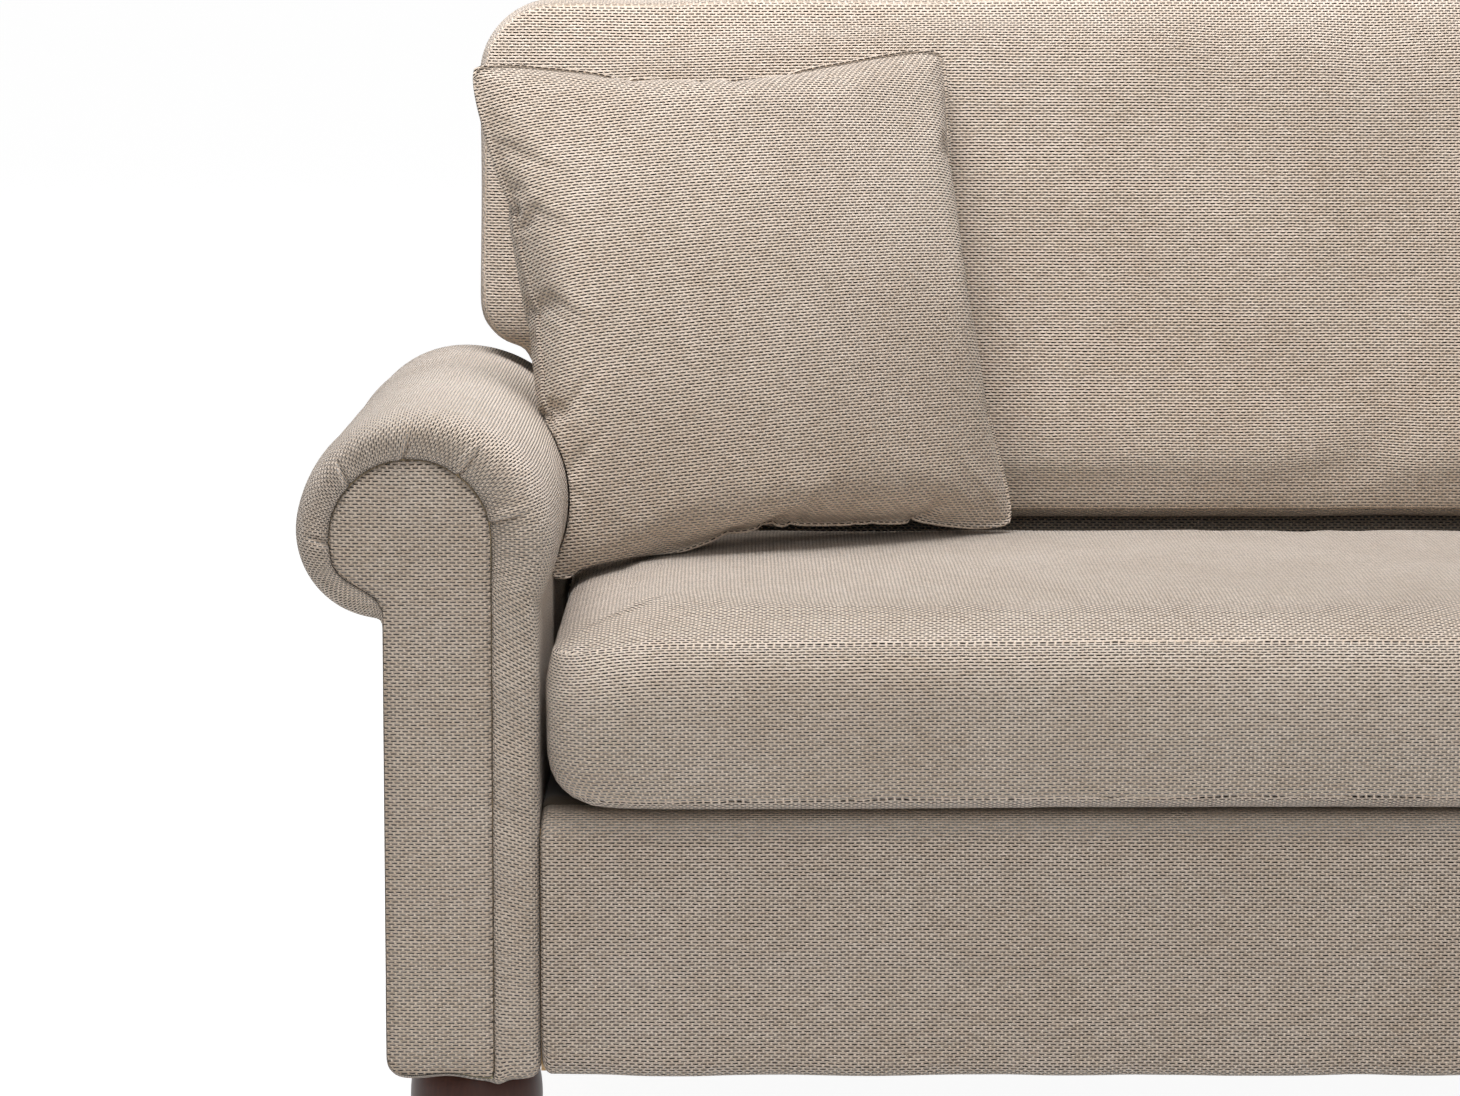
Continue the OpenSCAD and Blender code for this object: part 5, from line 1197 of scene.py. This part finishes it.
def t_rings(blend, inset, n):
    """Rings from the T outline, moved inward by an inset, then blended towards the plateau, n forward."""
    edge = t_edge[None] - out[None] * inset[..., None]
    pos = edge * (1 - blend[:, None, None]) + plateau[None] * blend[:, None, None]
    return on_back(pos[..., 0], n, pos[..., 1]), pos


thick, loft = 0.096, 0.0315
free = ease(t_edge[:, 1], cushion_z0 + 0.03, cushion_z0 + 0.1) * ease(
    np.hypot(t_edge[:, 0] - np.sign(t_edge[:, 0]) * roll_x, t_edge[:, 1] - roll_z),
    notch_r + 0.004, notch_r + 0.03)
box_n = np.array([0, .0012, .004, .010, .02, .034, .048, .062, .076, .086, .092, .0948, .096])
box_e = np.array([.0044, .0028, .0013, .0002, -.0012, -.0026, -.003, -.0026, -.0012, .0002, .0013,
                  .0028, .0044])
inset = np.where(box_e[:, None] < 0, box_e[:, None] * free, box_e[:, None])
inset = inset + 0.0005 * ripple(t_run[None, :-1], 0 * box_n[:, None], 0.03, 71) * (
    np.exp(-box_n[:, None] / 0.012) + np.exp(-(thick - box_n[:, None]) / 0.012)) * free
inset = inset - 0.0012 * free * ripple(t_run[None, :-1], box_n[:, None], 0.2, 72)
rolled = np.array([0, 0, 0, 0, 0, 0, .0001, .0008, .0036, .0084, .0132, .0160, .0182])
low_edge = ease(-t_edge[:, 1], -cushion_z0 - 0.020, -cushion_z0 - 0.004)
inset = inset + rolled[:, None] * low_edge
strip, _ = t_rings(np.zeros(len(box_n)), inset, box_n[:, None] + 0 * inset)
strip_uv = np.stack(np.broadcast_arrays(t_run[None, :], box_n[:, None] + bump_row / 2), -1)

step = np.concatenate([[0, .0022, .005, .009, .014, .02, .028, .038, .05, .064, .08, .1, .125],
                       np.linspace(0.155, 1, 40)])
rise = loft * (1 - np.exp(-(step / 0.24) ** 0.85)) / (1 - math.exp(-(1 / 0.24) ** 0.85))
seam_in = inset[-1]
pull = seam_in[None, :] * np.exp(-step[:, None] / 0.05)
front_n = thick + rise[:, None] + 0.0022 * ease(step[:, None], 0, 0.01) * np.exp(-step[:, None] / 0.06)
_, flat_pos = t_rings(step, pull, front_n + 0 * pull)
x, z = flat_pos[..., 0], flat_pos[..., 1]
front_n = front_n + 0 * x
front_n += 0.0014 * ripple(x, z, 0.24, 73) * ease(step, 0.0, 0.2)[:, None]
near_seam = np.exp(-step / 0.06) * ease(step, 0, 0.012)
front_n += 0.0006 * ripple(t_run[None, :-1], 0 * x, 0.032, 74) * near_seam[:, None]
for side in (-1, 1):
    for aim, size in ((118, 0.0038), (136, 0.0030), (152, 0.0018)):
        from_notch = np.stack([side * x - (roll_x - notch_r * 0.92), z - (roll_z + 0.055)], -1)
        far = np.linalg.norm(from_notch, axis=-1)
        heading = np.degrees(np.arctan2(from_notch[..., 1], from_notch[..., 0]))
        away = far * np.sin(np.radians(heading - aim - 60 * far))
        ahead = far * np.cos(np.radians(heading - aim))
        crease = np.exp(-(away / (0.004 + 0.05 * far)) ** 2 - (far / 0.075) ** 2)
        crease = crease * ease(ahead, 0.0, 0.02)
        front_n -= size * crease * ease(step[:, None], 0, 0.02)
front = on_back(x, front_n, z)
inner_steps = np.concatenate([np.linspace(1, 0.1, 16)[1:], [0.0]])
centre = np.array([0.0, (flat_z0 + flat_z1) / 2])
inner = centre + (plateau[None] - centre) * inner_steps[:, None, None]
inner_n = thick + loft + 0.0014 * ripple(inner[..., 0], inner[..., 1], 0.24, 73)
inner_points = on_back(inner[..., 0], inner_n, inner[..., 1])
front_all = np.concatenate([front, inner_points])
flat_all = np.concatenate([flat_pos, inner])
front_uv = np.concatenate([flat_all, flat_all[:, :1]], 1)

rear_step = np.array([0.0, .0025, .006, .012, .022, .04, .08, .2, .5, 1.0])
rear_in = inset[0][None, :] * np.exp(-rear_step[:, None] / 0.05)
rear, rear_pos = t_rings(rear_step, rear_in, 0 * rear_in)
rear_end = centre + (plateau[None] - centre) * np.array([0.4, 0.0])[:, None, None]
rear = np.concatenate([rear, on_back(rear_end[..., 0], 0 * rear_end[..., 0], rear_end[..., 1])])
rear_pos = np.concatenate([rear_pos, rear_end])
rear_uv = closed_round(rear_pos)
back_rows = ([0, 4, 6, 8, 10, 12],
             [0, 4, 6, 8, 10, 12] + list(range(14, len(front_all) - 1, 2)) + [len(front_all) - 1],
             [0, 3, 4, 5, 6, 7, 8, 9, 10, 11])
back_shapes = swelled([strip, front_all, rear], back_rows, 4, 3.0, 10, 0.005, smooth=3)
fit = []
for part in back_shapes:
    x, y, z = np.abs(part[..., 0]), part[..., 1], part[..., 2]
    n = np.maximum(back_y + (z - deck_z) * math.tan(lean) - 0.0003 - y, 0)
    n = np.where(n > thick, thick + (n - thick) * 0.8, n)
    z = np.maximum(z - 0.0016 * ease(-z, -cushion_z0 - 0.03, -cushion_z0), cushion_z0 - 0.0016)
    far = np.maximum(np.hypot(x - roll_x, z - roll_z), 1e-6)
    away = np.maximum(roll_r + 0.0010, far) / far
    x, z = roll_x + (x - roll_x) * away, roll_z + (z - roll_z) * away
    x = np.where(z < roll_z, np.minimum(x, edge_w + 0.0004), x)
    fit.append(on_back(np.sign(part[..., 0]) * x, n, z))
back = grid_mesh("back_cushion_cloth", list(zip(fit, (strip_uv, front_uv, rear_uv))), linen)
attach(back, "back_cushion")
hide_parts("back_cushion_cover")

# Throw pillows
#
# Two square pillows with a knife edge: two squares of the same cloth sewn round a loose insert. A cloth
# simulation fills the flat case, so its sides draw in between pointed corners and creases run in from the
# seam, which stands out as a narrow lip.

case_half = 0.232
case_thick = 0.150
pillow_angles = np.radians([2.5, 16.5, 28.0])
pillow_corners = np.array([[[-0.2118, -0.2220], [0.2542, -0.2248]], [[-0.2268, 0.2192], [0.2451, 0.2296]]])


def spun(a, b, angle):
    """Two coordinates turned by an angle in their own plane."""
    return a * math.cos(angle) + b * math.sin(angle), b * math.cos(angle) - a * math.sin(angle)


def turned(points, side):
    """The pillow's own square, x across, y through and z up, turned in its plane, leaned back and turned
    towards the middle of the sofa. The side is 1 for the right-hand pillow and -1 for the left."""
    roll, back_lean, yaw = pillow_angles
    x, y, z = points[..., 0], points[..., 1], points[..., 2]
    x, z = spun(x, z, roll)
    y, z = spun(y, z, back_lean)
    x, y = spun(x, y, yaw)
    return np.stack([x * side, y, z], -1)


def finer(grid):
    """The grid with a new row between every two rows and the same for columns, on smooth curves."""
    for _ in range(2):
        middle = (grid[1:] + grid[:-1]) / 2
        middle[1:-1] = (9 * (grid[1:-2] + grid[2:-1]) - grid[:-3] - grid[3:]) / 16
        both = np.empty((grid.shape[0] * 2 - 1,) + grid.shape[1:])
        both[::2], both[1::2] = grid, middle
        grid = both.transpose(1, 0, 2)
    return grid


def kept_clear(points):
    """Presses the pillow in where it would pass through the arm's roll, the back cushion or the seat."""
    x, y, z = np.abs(points[..., 0]), points[..., 1], points[..., 2]
    far = np.hypot(x - roll_x, z - roll_z)
    out = np.maximum(roll_r + 0.0015, far) / far
    x, z = roll_x + (x - roll_x) * out, roll_z + (z - roll_z) * out
    x = np.where(z < roll_z - 0.02, np.minimum(x, arm_in - 0.001), x)
    y = np.minimum(y, back_y + (z - deck_z) * math.tan(lean) - 0.1335)
    seat_x = np.minimum(x, seat_half[0])
    seat_y = np.clip(y - seat_mid[1], -seat_half[1], seat_half[1])
    rest = seat_z + under + boxing + 0.026 * crown_height(seat_x, seat_y)
    return np.stack([np.sign(points[..., 0]) * x, y, np.maximum(z, rest + 0.0015)], -1)


def placed(points, side, centre):
    """The pillow's points where it leans on the sofa."""
    return kept_clear(turned(points, side) + centre)


u, v = np.meshgrid(np.linspace(-case_half, case_half, 81), np.linspace(-case_half, case_half, 81))
dome = 0.035 * (1 - (u / case_half) ** 2) * (1 - (v / case_half) ** 2)
cut_round = 1 - 0.022 * np.abs(u * v / case_half ** 2) ** 14
u, v = u * cut_round, v * cut_round
case = [np.stack([u, -dome, v], -1), np.stack([u, dome, v], -1)]
case = filled(case, 4.0, 16, bending=0.35)
case = [finer(part) for part in case]
reach = (case[0][-1, -1] - case[0][0, 0])[[0, 2]] / 2
fat = case_thick / (case[1][..., 1] - case[0][..., 1]).max()
case_uv = finer(np.stack([u, v, 0 * u], -1))[..., :2]


def in_square(part):
    """Stretches the filled case so that its four corners come to the pillow's corners."""
    s, t = (part[..., 0] / reach[0] + 1) / 2, (part[..., 2] / reach[1] + 1) / 2
    s, t = s[..., None], t[..., None]
    flat = ((pillow_corners[0, 0] * (1 - s) + pillow_corners[0, 1] * s) * (1 - t)
            + (pillow_corners[1, 0] * (1 - s) + pillow_corners[1, 1] * s) * t)
    return np.stack([flat[..., 0], part[..., 1] * fat, flat[..., 1]], -1)


def rim_of(grid):
    """The points round the border of a grid, in one closed run."""
    return np.concatenate([grid[0, :-1], grid[:-1, -1], grid[-1, :0:-1], grid[:0:-1, 0]])


lip_out = np.array([0.0, 0.0008, 0.0019, 0.0028, 0.0032])
lip_half = np.array([0.0007, 0.0017, 0.0020, 0.0014, 0.0])
insert_cloth = lining("insert_nonwoven", "#efece6", "#dcd8cf", 0.0006)
for side, word in ((-1, "left"), (1, "right")):
    low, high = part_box("pillow_cover_" + word)
    centre = (np.array(low) + np.array(high)) / 2
    front, rear = case if side < 0 else [part[:, ::-1] * [-1, -1, 1] for part in case[::-1]]
    panels = [in_square(front), in_square(rear)]
    rim_line, rim_uv = rim_of(panels[0]), rim_of(case_uv)
    ahead = np.roll(rim_line, -2, 0) - np.roll(rim_line, 2, 0)
    outward = np.stack([ahead[:, 2], 0 * ahead[:, 0], -ahead[:, 0]], -1)
    outward = outward / np.linalg.norm(outward, axis=1)[:, None]
    for part, face in zip(panels, (-1, 1)):
        part[[0, -1], :, 1] += face * lip_half[0]
        part[1:-1, [0, -1], 1] += face * lip_half[0]
    uv_out = np.sign(rim_uv) * (np.abs(rim_uv) > case_half * 0.95)
    patches = [[placed(part, side, centre), case_uv + [0, k]] for k, part in enumerate(panels)]
    for face in (-1, 1):
        lip = rim_line[None] + outward[None] * lip_out[:, None, None]
        lip = lip + np.array([0, face, 0]) * lip_half[:, None, None]
        lip_uv = closed_round(rim_uv[None] + uv_out[None] * lip_out[:, None, None])
        patches.append([placed(lip, side, centre), lip_uv])
    pillow = grid_mesh("pillow_cloth_" + word, patches, linen)
    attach(pillow, "pillow_" + word)
    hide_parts("pillow_cover_" + word)
    inner = [placed(part * [0.95, 0.93, 0.95], side, centre)[::2, ::2] for part in panels]
    inner = [[part, case_uv[::2, ::2]] for part in inner]
    inner = grid_mesh("pillow_insert_case_" + word, inner, insert_cloth)
    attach(inner, "pillow_" + word)
    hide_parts("pillow_insert_" + word)

# Room and camera
#
# A white floor that curves up far behind, one large soft light overhead, a weaker one in front, and light
# from all round.

room, tree, shader = finish("white_studio_floor", Roughness=0.9, Specular_IOR_Level=0.2)
rays = add(tree, "LightPath")
seen = rays.outputs["Is Camera Ray"]
for kind in ("Is Glossy Ray", "Is Transmission Ray"):
    seen = add(tree, "Math", {0: seen, 1: rays.outputs[kind]}, operation="MAXIMUM").outputs[0]
tree.links.new(mix(tree, seen, "#e6e6e6", "#7a7a7a"), shader.inputs["Base Color"])
white = add(tree, "Emission", {"Strength": seen})
white.inputs["Color"].default_value = (0.94, 0.94, 0.94, 1)
both_lights = add(tree, "AddShader", {0: shader.outputs[0], 1: white.outputs[0]})
tree.links.new(both_lights.outputs[0], tree.nodes["Material Output"].inputs["Surface"])
wall_d, wall_r = 20.0, 3.0
sweep = np.concatenate([
    [[-20.0, 0.0], [wall_d - wall_r, 0.0]],
    circle(wall_d - wall_r, wall_r, wall_r, np.linspace(-90, 0, 24)),
    [[wall_d, 9.0]]])
floor_x = np.array([-24.0, 24.0])
grid = np.stack(np.broadcast_arrays(floor_x[None, :], sweep[:, :1], sweep[:, 1:]), -1)
floor = grid_mesh("studio_floor", [[grid, grid[:, :, :2]]], room, closed=False)

world = bpy.data.worlds.new("room_light")
world.use_nodes = True
bpy.context.scene.world = world
sky = world.node_tree.nodes["Background"]
sky.inputs["Color"].default_value = (1, 1, 1, 1)
sky.inputs["Strength"].default_value = 0.26


def lamp(name, place, target, size, watts, colour="#ffffff"):
    """A square soft light at a place, turned to face a target."""
    light = bpy.data.lights.new(name, "AREA")
    light.size = size
    light.energy = watts
    light.color = linear(colour)[:3]
    holder = bpy.data.objects.new(name, light)
    bpy.context.collection.objects.link(holder)
    holder.location = place
    aim = np.array(target) - np.array(place)
    tilt = math.atan2(math.hypot(aim[0], aim[1]), -aim[2])
    holder.rotation_euler = (tilt, 0, math.atan2(aim[1], aim[0]) - math.pi / 2)


lamp("key_overhead", (-0.8, -0.15, 3.2), (-0.3, 0.0, 0.5), 2.2, 130, "#f6f7fb")
lamp("fill_front", (-0.2, -3.8, 1.9), (-0.2, 0.0, 0.5), 2.0, 30)

camera = bpy.data.objects.new("photo_camera", bpy.data.cameras.new("photo_camera"))
bpy.context.collection.objects.link(camera)
camera.data.sensor_width = 36
camera.data.lens = 113.42
camera.location = (-0.610, -4.085, 0.988)
camera_down = 6.98
camera.rotation_euler = (math.radians(90 - camera_down), 0, 0)
bpy.context.scene.camera = camera
bpy.context.scene.view_settings.view_transform = "Standard"
